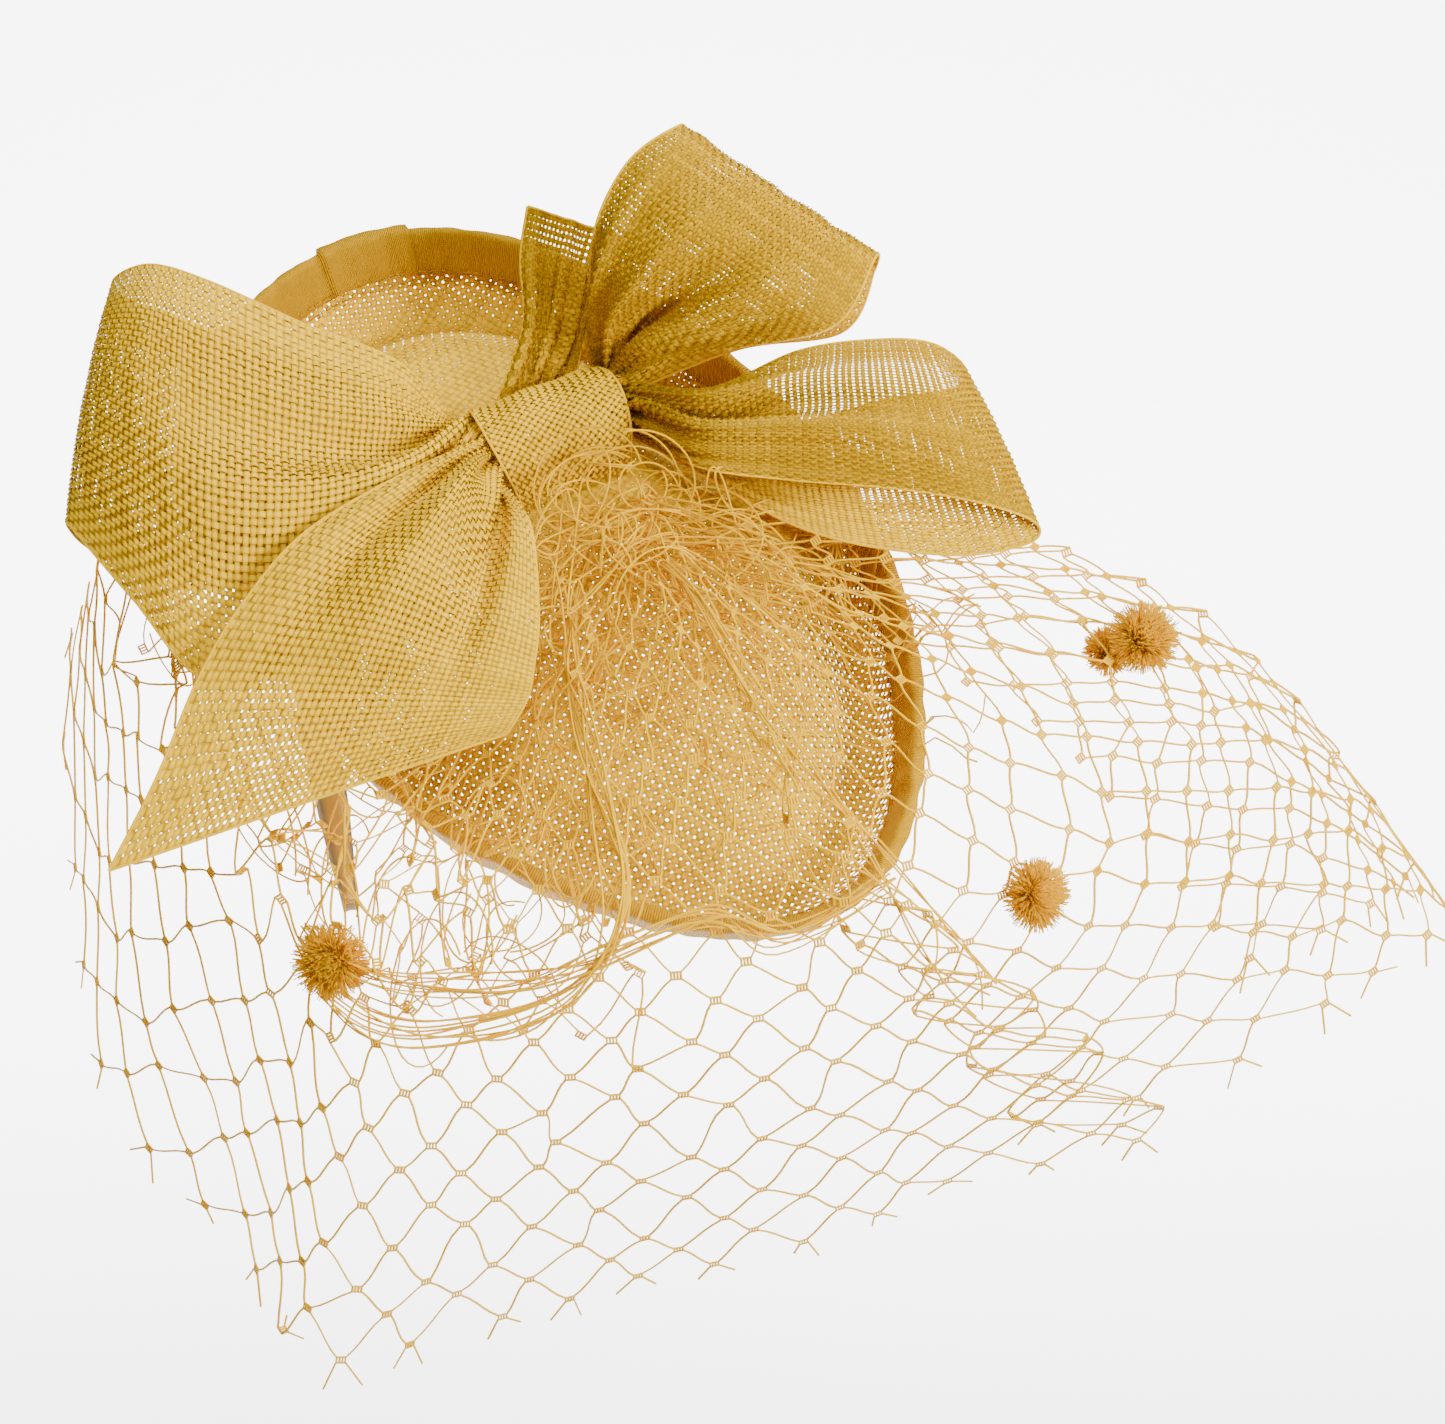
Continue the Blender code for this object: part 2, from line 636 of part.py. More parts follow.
def strand_frame(corners):
    """The inner corners of a gap, half a strand in from every side."""
    count = len(corners)
    inner = []
    for i, corner in enumerate(corners):
        before = (corners[i - 1] - corner).normalized()
        after = (corners[(i + 1) % count] - corner).normalized()
        spread = max(before.cross(after).length, SHARPEST_CORNER)
        inner.append(corner + (before + after) * (VEIL_STRAND / 2 / spread))
    return inner


def veil_mesh():
    """The veil as a coarse net cut through, hung from its gathered heading."""
    mesh = bmesh.new()
    knots = {}

    def knot(column, half_row):
        key = (round(column * 2), half_row)
        if key not in knots:
            knots[key] = mesh.verts.new(lattice_node(column, half_row))
        return knots[key]

    for cell in veil_cells():
        outer = [knot(*corner) for corner in cell]
        inner = [mesh.verts.new(point) for point in strand_frame([v.co for v in outer])]
        for i in range(len(cell)):
            j = (i + 1) % len(cell)
            mesh.faces.new((outer[i], outer[j], inner[j], inner[i]))
    heading_rows = []
    for down in (VEIL_STATIONS[0], VEIL_HEADING_MIDDLE):
        heading_rows.append([
            mesh.verts.new(veil_point(number / VEIL_COLUMNS, down))
            for number in range(VEIL_COLUMNS + 1)])
    heading_rows.append([knot(number, 0) for number in range(VEIL_COLUMNS + 1)])
    for upper, lower in zip(heading_rows, heading_rows[1:]):
        for number in range(VEIL_COLUMNS):
            mesh.faces.new((upper[number], lower[number], lower[number + 1], upper[number + 1]))
    bmesh.ops.recalc_face_normals(mesh, faces=mesh.faces[:])
    bmesh.ops.solidify(mesh, geom=mesh.faces[:], thickness=VEIL_STRAND)
    return finish_mesh("veil_net", mesh)


def dot_place(dot):
    """Where a dot sits on its strand, and the net's outward normal there."""
    start = lattice_node(dot.column, dot.half_row)
    end = lattice_node(dot.to_column, dot.to_half_row)
    beside = lattice_node(dot.to_column, dot.half_row * 2 - dot.to_half_row)
    normal = (end - start).cross(beside - start).normalized()
    if normal.z * dot.side < 0:
        normal.negate()
    return start.lerp(end, dot.share), normal


def dot_mesh(name, dot):
    """A chenille tuft: a flattened, tufted ball standing on the net."""
    here, normal = dot_place(dot)
    mesh = bmesh.new()
    bmesh.ops.create_icosphere(mesh, subdivisions=2, radius=0.5)
    for number, vert in enumerate(mesh.verts):
        tuft = 1.0 + DOT_TUFT * math.sin(DOT_TUFT_TURN * number)
        vert.co = Vector((vert.co.x * DOT_WIDTH, vert.co.y * DOT_WIDTH,
                          vert.co.z * DOT_THICKNESS)) * tuft
    low = min(vert.co.z for vert in mesh.verts)
    stand_off = DOT_SEAT_OUTSIDE if dot.side > 0 else DOT_SEAT_INSIDE
    seat = here + normal * (stand_off - low)
    turn = Vector((0, 0, 1)).rotation_difference(normal).to_matrix().to_4x4()
    mesh.transform(Matrix.Translation(seat) @ turn)
    return made_mesh(name, mesh)


# Hair clip

def clip_mesh():
    """The clip sewn under the base: one tapered blade with a rounded back and a blunt tip."""
    forward = polar(CLIP_TURN)
    aside = polar(CLIP_TURN + 90)
    slope = math.tan(math.radians(CLIP_SLOPE))
    root = base_point(math.radians(CLIP_PLACE), VALLEY_RADIUS)
    root.z -= CLOTH / 2 + GAP + CLIP_STEEL
    grid = []
    for row in CLIP_ROWS:
        reach = row.along * CLIP_LENGTH
        half = max(row.width * CLIP_WIDTH, CLIP_TIP_WIDTH) / 2
        middle = root + forward * reach
        middle.z -= reach * slope + row.drop * CLIP_LENGTH * CLIP_SAG
        line = []
        for j in range(CLIP_ACROSS + 1):
            share = j / CLIP_ACROSS * 2 - 1
            line.append(middle + aside * half * share
                        - Vector((0, 0, half * CLIP_HOLLOW * share ** 2)))
        grid.append(line)
    return sheet_mesh("hair_clip", grid, CLIP_STEEL)


# Assembly

def build():
    """Model every piece, then lean the whole hat forwards."""
    clear_scene()
    lean = bpy.data.objects.new("worn_lean", None)
    bpy.context.collection.objects.link(lean)
    lean.rotation_euler = (math.radians(WORN_LEAN), 0, 0)

    woven = material("woven_cloth", (0.86, 0.50, 0.035), 0.75)
    tape = material("binding_tape", (0.80, 0.43, 0.015), 0.70)
    net = material("veil_net", (0.90, 0.52, 0.12), 0.55)
    chenille = material("chenille", (0.85, 0.36, 0.0), 0.95)
    steel = material("clip_steel", (0.70, 0.58, 0.42), 0.35, 0.9)

    add_object("base", base_mesh(), woven, lean)
    add_object("rim_binding", binding_mesh(), tape, lean)
    add_object("bow_knot", knot_mesh(), woven, lean)
    for ribbon in RIBBONS:
        add_object(ribbon.name, sheet_mesh(ribbon.name, ribbon_grid(ribbon), CLOTH), woven, lean)
    add_object("veil_net", veil_mesh(), net, lean)
    for number, dot in enumerate(DOTS, 1):
        name = f"chenille_dot_{number}"
        add_object(name, dot_mesh(name, dot), chenille, lean)
    add_object("hair_clip", clip_mesh(), steel, lean)


build()
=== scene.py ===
# %% [markdown]
# # A birdcage veil on a woven hat base
#
# The hat is a small saucer of open-weave cloth with a bound brim. A ribbon bow is sewn on top of
# it, and a stiff diamond net fans out from under the bow's knot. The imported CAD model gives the
# frame: where each piece is and how big. This file dresses it with real yarns, strands and pile.

# %% Load the frame
import json
import math
from collections import namedtuple

import bmesh
import bpy
import numpy as np
from mathutils import Matrix, Vector

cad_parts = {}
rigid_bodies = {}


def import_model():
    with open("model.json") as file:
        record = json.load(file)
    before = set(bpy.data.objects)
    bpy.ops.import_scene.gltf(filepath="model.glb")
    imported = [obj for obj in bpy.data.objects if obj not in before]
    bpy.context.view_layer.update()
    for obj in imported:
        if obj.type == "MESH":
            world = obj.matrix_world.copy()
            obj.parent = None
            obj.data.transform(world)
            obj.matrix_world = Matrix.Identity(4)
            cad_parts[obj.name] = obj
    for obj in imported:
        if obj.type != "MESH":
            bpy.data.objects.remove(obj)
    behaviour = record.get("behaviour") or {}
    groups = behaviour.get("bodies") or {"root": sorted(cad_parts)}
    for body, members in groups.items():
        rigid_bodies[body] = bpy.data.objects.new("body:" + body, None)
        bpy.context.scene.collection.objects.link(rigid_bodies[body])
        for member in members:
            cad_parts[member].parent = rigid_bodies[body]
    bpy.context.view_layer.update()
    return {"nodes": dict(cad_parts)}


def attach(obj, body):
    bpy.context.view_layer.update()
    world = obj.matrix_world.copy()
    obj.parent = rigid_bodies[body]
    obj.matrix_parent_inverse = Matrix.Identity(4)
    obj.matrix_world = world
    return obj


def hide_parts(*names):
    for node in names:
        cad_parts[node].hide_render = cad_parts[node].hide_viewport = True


def placed(name, data):
    """An object with this data, linked into the scene."""
    made = bpy.data.objects.new(name, data)
    bpy.context.scene.collection.objects.link(made)
    return made


for old in list(bpy.data.objects):
    bpy.data.objects.remove(old)
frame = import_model()

# %% [markdown]
# ## The camera
#
# The photo looks down on the worn hat from the front. A camera is set from three things: how far
# away it stands, how it is turned, and its lens. They were found by laying the rim's ellipse over
# the photo.

# %% Camera
camera_data = bpy.data.cameras.new("photo_camera")
camera_data.sensor_fit = "HORIZONTAL"
camera_data.sensor_width = 36.0
camera_data.lens = 64.1024
camera = placed("photo_camera", camera_data)
camera.location = (0.0406651, -0.5711787, 0.2973302)
camera.rotation_euler = (math.radians(60), 0, 0)
bpy.context.scene.camera = camera
print("camera lens", round(camera_data.lens, 1), "mm")

# %% [markdown]
# ## Sizes and tables
#
# The pieces follow the same sizes and shape tables as the CAD. Each number in a table is a share
# of a size named here, so that a change of size moves everything that depends on it.

# %% Sizes
WORN_LEAN = 28.0
GAP = 0.0003
RIM_LENGTH = 0.231
RIM_WIDTH = 0.141
RIM_HEIGHT = 0.022
RIM_POINT = 0.025
RIM_POINT_SPREAD = 0.3
VALLEY_RADIUS = 0.87
BASE_TURN = -54.5
CROWN_HEIGHT = 0.022
CLOTH = 0.0012
BINDING_DEPTH = 0.012
BINDING_CLOTH = 0.0008
RIBBON_WIDTH = 0.090
BOW_RISE = 0.062
PLEAT_DEPTH = 0.006
PLEAT_SECTIONS = 3.0
THROAT_DEPTHS = (0.5, 1.05)
STANDING_START = -0.4
STANDING_END = 0.8
KNOT_X = -0.0015
KNOT_Y = 0.029
KNOT_TURN = 28.0
KNOT_WIDTH = 0.036
KNOT_SPAN = 0.029
KNOT_RISE = 0.021
KNOT_PINCH = 0.8
KNOT_SEAT = 0.0007
KNOT_CLOTH = 0.0016
VEIL_DEPTH = 0.229
VEIL_X = 0.015
VEIL_Y = 0.010
VEIL_GATHER_RADIUS = 0.010
VEIL_GATHER_LIFT = 0.012
VEIL_COLUMNS = 12
VEIL_ROWS = 4
VEIL_HEADING_SHARE = 0.13
DOT_WIDTH = 0.0145
DOT_THICKNESS = 0.009

# %% [markdown]
# The tables give the saucer's profile, the sections of every ribbon, the veil's path at each
# heading, and where on the net each dot is tied.

# %% Tables
# share of the rim's radius, share of the crown's height, share of the rim's height
BASE_ROWS = np.array((
    (0.00, 1.00, 0.00),
    (0.28, 0.98, 0.00),
    (0.50, 0.90, 0.00),
    (0.66, 0.72, 0.00),
    (0.77, 0.38, 0.00),
    (0.83, 0.08, 0.00),
    (VALLEY_RADIUS, 0.00, 0.00),
    (0.91, 0.00, 0.10),
    (0.95, 0.00, 0.36),
    (1.00, 0.00, 1.00),
))
# A section's row: reach, place aside and lift of one edge, the same of the other edge, and bulge.
Ribbon = namedtuple("Ribbon", "name length heading side mouth start sections end pleats")
RIBBONS = (
    Ribbon(
        "bow_left_loop", 0.113, 180.0, -1, -1, (0.86, 0.10, 0.92),
        (
            (0.32, 0.08, 0.42, 0.28, -0.62, 0.32, 0.05),
            (0.51, 0.12, 0.58, 0.48, -0.86, 0.35, 0.07),
            (0.71, 0.21, 0.68, 0.65, -0.92, 0.39, 0.08),
            (0.84, 0.27, 0.68, 0.81, -0.70, 0.45, 0.06),
            (0.93, 0.28, 0.58, 0.97, -0.45, 0.42, 0.02),
            (0.92, 0.29, 0.45, 0.93, -0.48, 0.31, 0.00),
            (0.76, 0.24, 0.37, 0.72, -0.58, 0.26, 0.00),
            (0.47, 0.16, 0.29, 0.44, -0.46, 0.23, 0.00),
        ),
        (0.80, 0.16, 0.40), ((0.38, 0.10, -1.0), (0.58, 0.12, 1.1), (0.80, 0.10, -0.6)),
    ),
    Ribbon(
        "bow_big_tail", 0.148, -118.0, -1, -1, (-0.06, -0.86, 0.92),
        (
            (0.29, 0.13, 0.57, 0.27, -0.21, 0.50, 0.04),
            (0.47, 0.24, 0.61, 0.41, -0.37, 0.50, 0.05),
            (0.62, 0.27, 0.58, 0.49, -0.43, 0.46, 0.05),
            (0.75, 0.27, 0.50, 0.53, -0.45, 0.42, 0.03),
            (0.91, 0.22, 0.44, 0.57, -0.45, 0.39, 0.02),
            (1.06, 0.20, 0.36, 0.59, -0.44, 0.36, 0.01),
        ),
        None, ((0.22, 0.09, -0.6), (0.45, 0.10, 0.6), (0.72, 0.09, -1.5)),
    ),
    Ribbon(
        "bow_top_loop", 0.088, 38.0, 1, 1, (0.88, 0.18, 0.92),
        (
            (0.26, 0.15, 0.48, 0.36, -0.12, 0.40, 0.04),
            (0.32, 0.19, 0.78, 0.54, -0.28, 0.50, 0.06),
            (0.46, 0.22, 0.97, 0.70, -0.39, 0.61, 0.06),
            (0.61, 0.21, 1.03, 0.88, -0.32, 0.71, 0.00),
            (0.66, 0.24, 0.92, 0.91, -0.29, 0.57, -0.01),
            (0.55, 0.26, 0.66, 0.77, -0.33, 0.40, 0.00),
            (0.40, 0.24, 0.34, 0.55, -0.14, 0.26, 0.00),
        ),
        (0.82, 0.28, 0.50), ((0.30, 0.11, 0.6), (0.55, 0.10, -1.2), (0.78, 0.10, 0.7)),
    ),
    Ribbon(
        "bow_right_loop", 0.117, -6.0, 1, 1, (0.04, -0.82, 0.92),
        (
            (0.33, 0.03, 0.43, 0.32, -0.19, 0.36, 0.03),
            (0.51, 0.10, 0.58, 0.51, -0.21, 0.36, 0.06),
            (0.67, 0.12, 0.65, 0.74, -0.22, 0.38, 0.07),
            (0.78, 0.12, 0.65, 0.91, -0.24, 0.37, 0.04),
            (0.85, 0.12, 0.52, 1.02, -0.24, 0.27, 0.01),
            (0.83, 0.13, 0.38, 1.00, -0.28, 0.21, 0.00),
            (0.70, 0.12, 0.30, 0.83, -0.33, 0.20, 0.00),
            (0.48, 0.03, 0.26, 0.54, -0.28, 0.20, 0.00),
        ),
        (0.00, -0.76, 0.46), ((0.25, 0.08, 0.7), (0.45, 0.08, -1.0), (0.66, 0.09, 0.6)),
    ),
    Ribbon(
        "bow_small_tail", 0.058, 100.0, 1, 1, None,
        (
            (0.52, 0.03, 0.22, 0.52, -0.14, 0.12, 0.02),
            (0.72, 0.01, 0.42, 0.70, -0.22, 0.22, 0.03),
            (0.88, -0.03, 0.55, 0.82, -0.30, 0.34, 0.02),
        ),
        None, ((0.5, 0.14, 0.5),),
    ),
)
# heading, hem heading, shoulder, its height, crest, its height, hem, its height
VEIL_TABLE = np.array((
    (184, 176, 0.26, 0.120, 0.50, 0.128, 0.655, -0.20),
    (202, 201, 0.26, 0.120, 0.50, 0.132, 0.670, -0.27),
    (219, 221, 0.26, 0.120, 0.50, 0.132, 0.745, -0.31),
    (236, 238, 0.26, 0.124, 0.53, 0.130, 0.770, -0.32),
    (248, 249, 0.26, 0.128, 0.57, 0.118, 0.855, -0.27),
    (260, 259, 0.25, 0.160, 0.58, 0.120, 0.760, -0.32),
    (274, 272, 0.25, 0.215, 0.58, 0.135, 0.690, -0.35),
    (288, 288, 0.25, 0.225, 0.59, 0.140, 0.680, -0.34),
    (300, 303, 0.25, 0.220, 0.60, 0.140, 0.700, -0.31),
    (314, 318, 0.25, 0.200, 0.61, 0.120, 0.785, -0.26),
    (329, 330, 0.25, 0.160, 0.62, 0.100, 0.885, -0.18),
    (345, 338, 0.26, 0.130, 0.65, 0.095, 0.955, -0.15),
    (358, 342, 0.32, 0.124, 0.65, 0.045, 0.935, -0.19),
))
VEIL_STATIONS = (0.04, 0.28, 0.62, 1.0)
# column, half row, to column, to half row, share, side
DOTS = (
    (3.5, 5, 4.0, 4, 0.1, 1),
    (8.5, 5, 9.0, 4, 0.3, 1),
    (11.0, 4, 10.5, 3, 0.16, 1),
    (11.0, 4, 10.5, 3, 0.3, -1),
)
DOT_SIZES = (1.0, 0.95, 1.0, 0.7)
print(len(RIBBONS), "ribbons,", len(VEIL_TABLE), "veil columns,", len(DOTS), "dots")

# %% [markdown]
# ## Curves and surfaces as grids
#
# Every cloth here starts as a grid of points. A Catmull-Rom curve passes through the sections of a
# table, and a grid can then be read at any place between its points. Working on whole grids with
# numpy keeps the long sums out of Python loops.

# %% Grid helpers
def polar(degrees):
    """Unit vectors in plan."""
    turn = np.radians(degrees)
    return np.stack([np.cos(turn), np.sin(turn), np.zeros_like(turn)], axis=-1)


def padded_ends(lines):
    """A list of lines with one more at each end, straight on."""
    return np.concatenate([[lines[0] * 2 - lines[1]], lines, [lines[-1] * 2 - lines[-2]]])


def curve(p0, p1, p2, p3, part):
    """Catmull-Rom curve from p1 to p2."""
    return (p1 * 2 + (p2 - p0) * part + (p0 * 2 - p1 * 5 + p2 * 4 - p3) * part ** 2
            + (p1 * 3 - p0 - p2 * 3 + p3) * part ** 3) * 0.5


def through(lines, places):
    """Catmull-Rom curve through a list of lines, read at places from 0 to 1."""
    lines = np.asarray(lines, float)
    spans = len(lines) - 1
    along = np.clip(places, 0, 1) * spans
    first = np.minimum(along.astype(int), spans - 1)
    part = (along - first).reshape((-1,) + (1,) * (lines.ndim - 1))
    padded = padded_ends(lines)
    return curve(*(padded[first + k] for k in range(4)), part)


def sample(grid, u, v):
    """A grid read at places u along and v across, both from 0 to 1."""
    rows, columns = grid.shape[:2]
    a = np.clip(u, 0, 1) * (rows - 1)
    b = np.clip(v, 0, 1) * (columns - 1)
    i = np.minimum(a.astype(int), rows - 2)
    j = np.minimum(b.astype(int), columns - 2)
    s = (a - i)[..., None]
    t = (b - j)[..., None]
    low = grid[i, j] * (1 - t) + grid[i, j + 1] * t
    high = grid[i + 1, j] * (1 - t) + grid[i + 1, j + 1] * t
    return low * (1 - s) + high * s


def unit(vectors):
    """Vectors made one long."""
    return vectors / np.maximum(np.linalg.norm(vectors, axis=-1, keepdims=True), 1e-12)


def grid_normals(grid):
    """Unit normals of a grid of points."""
    return unit(np.cross(np.gradient(grid, axis=0), np.gradient(grid, axis=1)))


def evened(grid, rows):
    """The grid read again at rows an even length apart, and that length in all."""
    steps = np.linalg.norm(np.diff(grid, axis=0), axis=2).mean(axis=1)
    along = np.concatenate([[0], np.cumsum(steps)])
    places = np.interp(np.linspace(0, along[-1], rows), along, np.linspace(0, 1, len(grid)))
    return through(grid, places), along[-1]


LEAN = np.array((
    (1, 0, 0),
    (0, math.cos(math.radians(WORN_LEAN)), -math.sin(math.radians(WORN_LEAN))),
    (0, math.sin(math.radians(WORN_LEAN)), math.cos(math.radians(WORN_LEAN))),
))


# %% [markdown]
# ## From arrays to a mesh
#
# Blender can take whole arrays of points and faces at once, which is much faster than adding them
# one by one. A point attribute called tone gives each yarn its own shade, because dyed straw never
# takes the dye evenly. On the woven cloth it also carries painted highlight over the crossings and
# painted shade under them and at the yarns' edges, and on the binding a painted shadow at its lap.

# %% Mesh helpers
def riding_piece(name, mesh):
    """A smooth mesh as one piece that rides on the root body."""
    mesh.shade_smooth()
    piece = placed(name, mesh)
    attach(piece, "root")
    return piece


def add_tones(mesh, tones):
    """Give every point of a mesh its shade."""
    mesh.attributes.new("tone", "FLOAT", "POINT").data.foreach_set(
        "value", np.asarray(tones, np.float32))


def mesh_piece(name, points, faces, material, tones):
    """A mesh in the hat's frame as one piece that rides on the root body."""
    faces = np.asarray(faces)
    mesh = bpy.data.meshes.new(name)
    mesh.vertices.add(len(points))
    mesh.vertices.foreach_set("co", (points @ LEAN.T).astype(np.float32).ravel())
    corners = faces.shape[1]
    mesh.loops.add(faces.size)
    mesh.loops.foreach_set("vertex_index", faces.astype(np.int32).ravel())
    mesh.polygons.add(len(faces))
    mesh.polygons.foreach_set("loop_start", np.arange(0, faces.size, corners, dtype=np.int32))
    mesh.update(calc_edges=True)
    mesh.validate()
    add_tones(mesh, tones)
    mesh.materials.append(material)
    return riding_piece(name, mesh)


def strip_faces(count, stations, wide):
    """Quads of many strips, each of so many stations by so many points."""
    index = np.arange(count * stations * wide).reshape(count, stations, wide)
    return np.stack(
        [index[:, :-1, :-1], index[:, 1:, :-1], index[:, 1:, 1:], index[:, :-1, 1:]],
        axis=-1).reshape(-1, 4)


# %% [markdown]
# ## The dyed cloth
#
# Woven straw-like yarn is flat and a little shiny, and light shines through it. A Principled
# surface gives the gloss, and a Translucent one mixed in lets the far side's light through, which
# is why the shadows of this hat stay a warm, deep yellow. The tone attribute shifts the colour from
# yarn to yarn, and along each yarn it brings painted highlight and painted shade; a fine noise
# roughens it.

# %% Materials
def wire(tree, *pairs):
    """Link sockets, each pair saying from which node's output to which node's input."""
    for source, output, target, into in pairs:
        tree.links.new(source.outputs[output], target.inputs[into])


def preset(node, **values):
    """Set inputs of a node, each by its label with an underscore for a space."""
    for label, value in values.items():
        node.inputs[label.replace("_", " ")].default_value = value
    return node


def new_material(name, **values):
    """A material whose Principled shader has these inputs: the material, its nodes, the shader."""
    made = bpy.data.materials.new(name)
    made.use_nodes = True
    nodes = made.node_tree.nodes
    return made, nodes, preset(nodes["Principled BSDF"], **values)


GLOSS = 0.25
NOISE_SCALE = 420.0
NOISE_DETAIL = 3.0
NOISE_SHARE = 0.3
DARK_TONE = 0.1
LIGHT_TONE = 0.9
RIB_HEIGHT = 0.0003
RIB_SCALE = 6.2
RIB_WANDER = 0.4


def cloth_material(name, light, dark, roughness, through_share, ribbed=False):
    """A two-tone cloth coloured by its tone attribute, with light shining through and fine ribs
    across it if asked for.
    """
    made, nodes, shader = new_material(name, Roughness=roughness, Specular_IOR_Level=GLOSS)
    tone = nodes.new("ShaderNodeAttribute")
    tone.attribute_name = "tone"
    place = nodes.new("ShaderNodeTexCoord")
    noise = preset(nodes.new("ShaderNodeTexNoise"), Scale=NOISE_SCALE, Detail=NOISE_DETAIL)
    both = nodes.new("ShaderNodeMath")
    both.operation = "MULTIPLY_ADD"
    both.inputs[1].default_value = NOISE_SHARE
    ramp = nodes.new("ShaderNodeValToRGB")
    for stop, at, colour in zip(ramp.color_ramp.elements, (DARK_TONE, LIGHT_TONE), (dark, light)):
        stop.position = at
        stop.color = (*colour, 1)
    glow = nodes.new("ShaderNodeBsdfTranslucent")
    mix = preset(nodes.new("ShaderNodeMixShader"), Fac=through_share)
    wire(
        made.node_tree,
        (place, "Object", noise, "Vector"),
        (noise, "Fac", both, 0),
        (tone, "Fac", both, 2),
        (both, 0, ramp, "Fac"),
        (ramp, "Color", shader, "Base Color"),
        (ramp, "Color", shader, "Specular Tint"),
        (ramp, "Color", glow, "Color"),
        (shader, "BSDF", mix, 1),
        (glow, "BSDF", mix, 2),
        (mix, "Shader", nodes["Material Output"], "Surface"))
    if ribbed:
        uv = nodes.new("ShaderNodeUVMap")
        uv.uv_map = "ribs"
        wave = preset(nodes.new("ShaderNodeTexWave"), Scale=RIB_SCALE, Distortion=RIB_WANDER)
        relief = preset(nodes.new("ShaderNodeBump"), Distance=RIB_HEIGHT)
        wire(
            made.node_tree,
            (uv, "UV", wave, "Vector"),
            (wave, "Fac", relief, "Height"),
            (relief, "Normal", shader, "Normal"))
    return made


WOVEN = cloth_material("woven_yarn", (1.0, 0.60, 0.0), (0.36, 0.19, 0.0), 0.45, 0.05)
TAPE = cloth_material("binding_tape", (0.82, 0.44, 0.0), (0.50, 0.25, 0.0), 0.6, 0.05, True)
NET = cloth_material("net_strand", (1.0, 0.64, 0.0), (0.95, 0.52, 0.0), 0.5, 0.20)
PILE = cloth_material("chenille_pile", (1.0, 0.76, 0.0), (0.95, 0.62, 0.0), 0.9, 0.6)
THREAD = cloth_material("stitching", (0.60, 0.28, 0.01), (0.40, 0.17, 0.005), 0.7, 0.1)
print("materials", [m.name for m in (WOVEN, TAPE, NET, PILE, THREAD)])

# %% [markdown]
# ## Weaving
#
# The cloth is a plain weave of flat yarns with a small hole between every four. It could be a
# picture of a weave on a smooth sheet, but the holes show the light behind, so real yarns are laid.
# Each yarn is a strip three points wide that rises over one crossing and dips under the next. The
# yarns across do the opposite, and a strip's middle bulges towards the side it shows on. Where
# the yarns are pressed close together, the cloth is flatter. Each yarn's tone is painted lighter
# over a crossing and darker under one and along its two edges, as painted highlight and shade.

# %% Weave
PITCH = 0.00176
YARN_SHARE = 0.70
CRIMP = 0.00036
YARN_DOME = 0.00026
LIFT_LIMITS = (0.2, 1.1)
OPEN_SHARE = 0.75
PRESSED_LIFT = 0.45
UNEVEN_PITCH = 0.045
YARN_TONE = 0.45
YARN_TONE_SPREAD = 0.06
# painted highlight over a crossing and painted shade under it, and painted shade at a yarn's edges
PAINTED_CROSSING_LIGHT = 0.38
PAINTED_EDGE_SHADE = 0.28
EDGE_THREAD = 0.00035
EDGE_TONE = 0.6


def yarns(points, normals, count, steps, crosswise, rng, inside, share):
    """One set of parallel yarns over a grid: its points, quads and tones."""
    middle = (np.arange(count) + 0.5 + rng.normal(0, UNEVEN_PITCH, count)) / count
    station = np.arange(2 * steps + 1) / (2 * steps)
    across, along = np.meshgrid(middle, station, indexing="ij")
    if np.ndim(share):
        u, v = (across, along) if crosswise else (along, across)
        share = sample(share[..., None], u, v)[..., 0]
    aside = (np.zeros_like(across) + share)[..., None] * np.array((-0.5, 0.0, 0.5)) / count
    across = across[..., None] + aside
    along = np.broadcast_to(along[..., None], across.shape)
    u, v = (across, along) if crosswise else (along, across)
    place = sample(points, u, v)
    normal = unit(sample(normals, u, v))
    width = np.linalg.norm(place[:, :, 2] - place[:, :, 0], axis=2)
    scale = np.clip(width / (np.mean(share) * PITCH), *LIFT_LIMITS)
    scale = scale * np.interp(share, (OPEN_SHARE, 1.0), (1.0, PRESSED_LIFT))
    wave = np.zeros((count, len(station)))
    parity = (np.arange(count)[:, None] + np.arange(steps)[None, :]) % 2
    wave[:, 1::2] = np.where(parity == 0, 1.0, -1.0) * (-1 if crosswise else 1)
    lift = (wave * scale)[..., None] * (CRIMP + YARN_DOME * np.array((0, 1, 0)))
    place = place + normal * lift[..., None]
    faces = strip_faces(count, len(station), 3)
    shade = rng.normal(YARN_TONE, YARN_TONE_SPREAD, count)[:, None, None]
    # Painted highlight and shade: the tone is raised where the yarn rises over a crossing and
    # lowered where it dips under.
    shade = shade + wave[..., None] * PAINTED_CROSSING_LIGHT
    # Painted shade: the tone is lowered along both edges of every yarn.
    tones = (shade - np.array((PAINTED_EDGE_SHADE, 0, PAINTED_EDGE_SHADE))).ravel()
    if inside is not None:
        kept = sample(inside[..., None], u, v).ravel() > 0.5
        faces = faces[kept[faces].all(axis=1)]
    return place.reshape(-1, 3), faces, tones


def edge_tube(line, radius, sides=6):
    """A round thread along a line of points: its points and quads."""
    forward = unit(np.gradient(line, axis=0))
    side = unit(np.cross(forward, np.array((0.31, 0.17, 0.94))))
    up = np.cross(forward, side)
    turns = np.arange(sides + 1) * 2 * np.pi / sides
    ring = side[:, None] * np.cos(turns)[:, None] + up[:, None] * np.sin(turns)[:, None]
    return (line[:, None] + ring * radius).reshape(-1, 3), strip_faces(1, len(line), sides + 1)


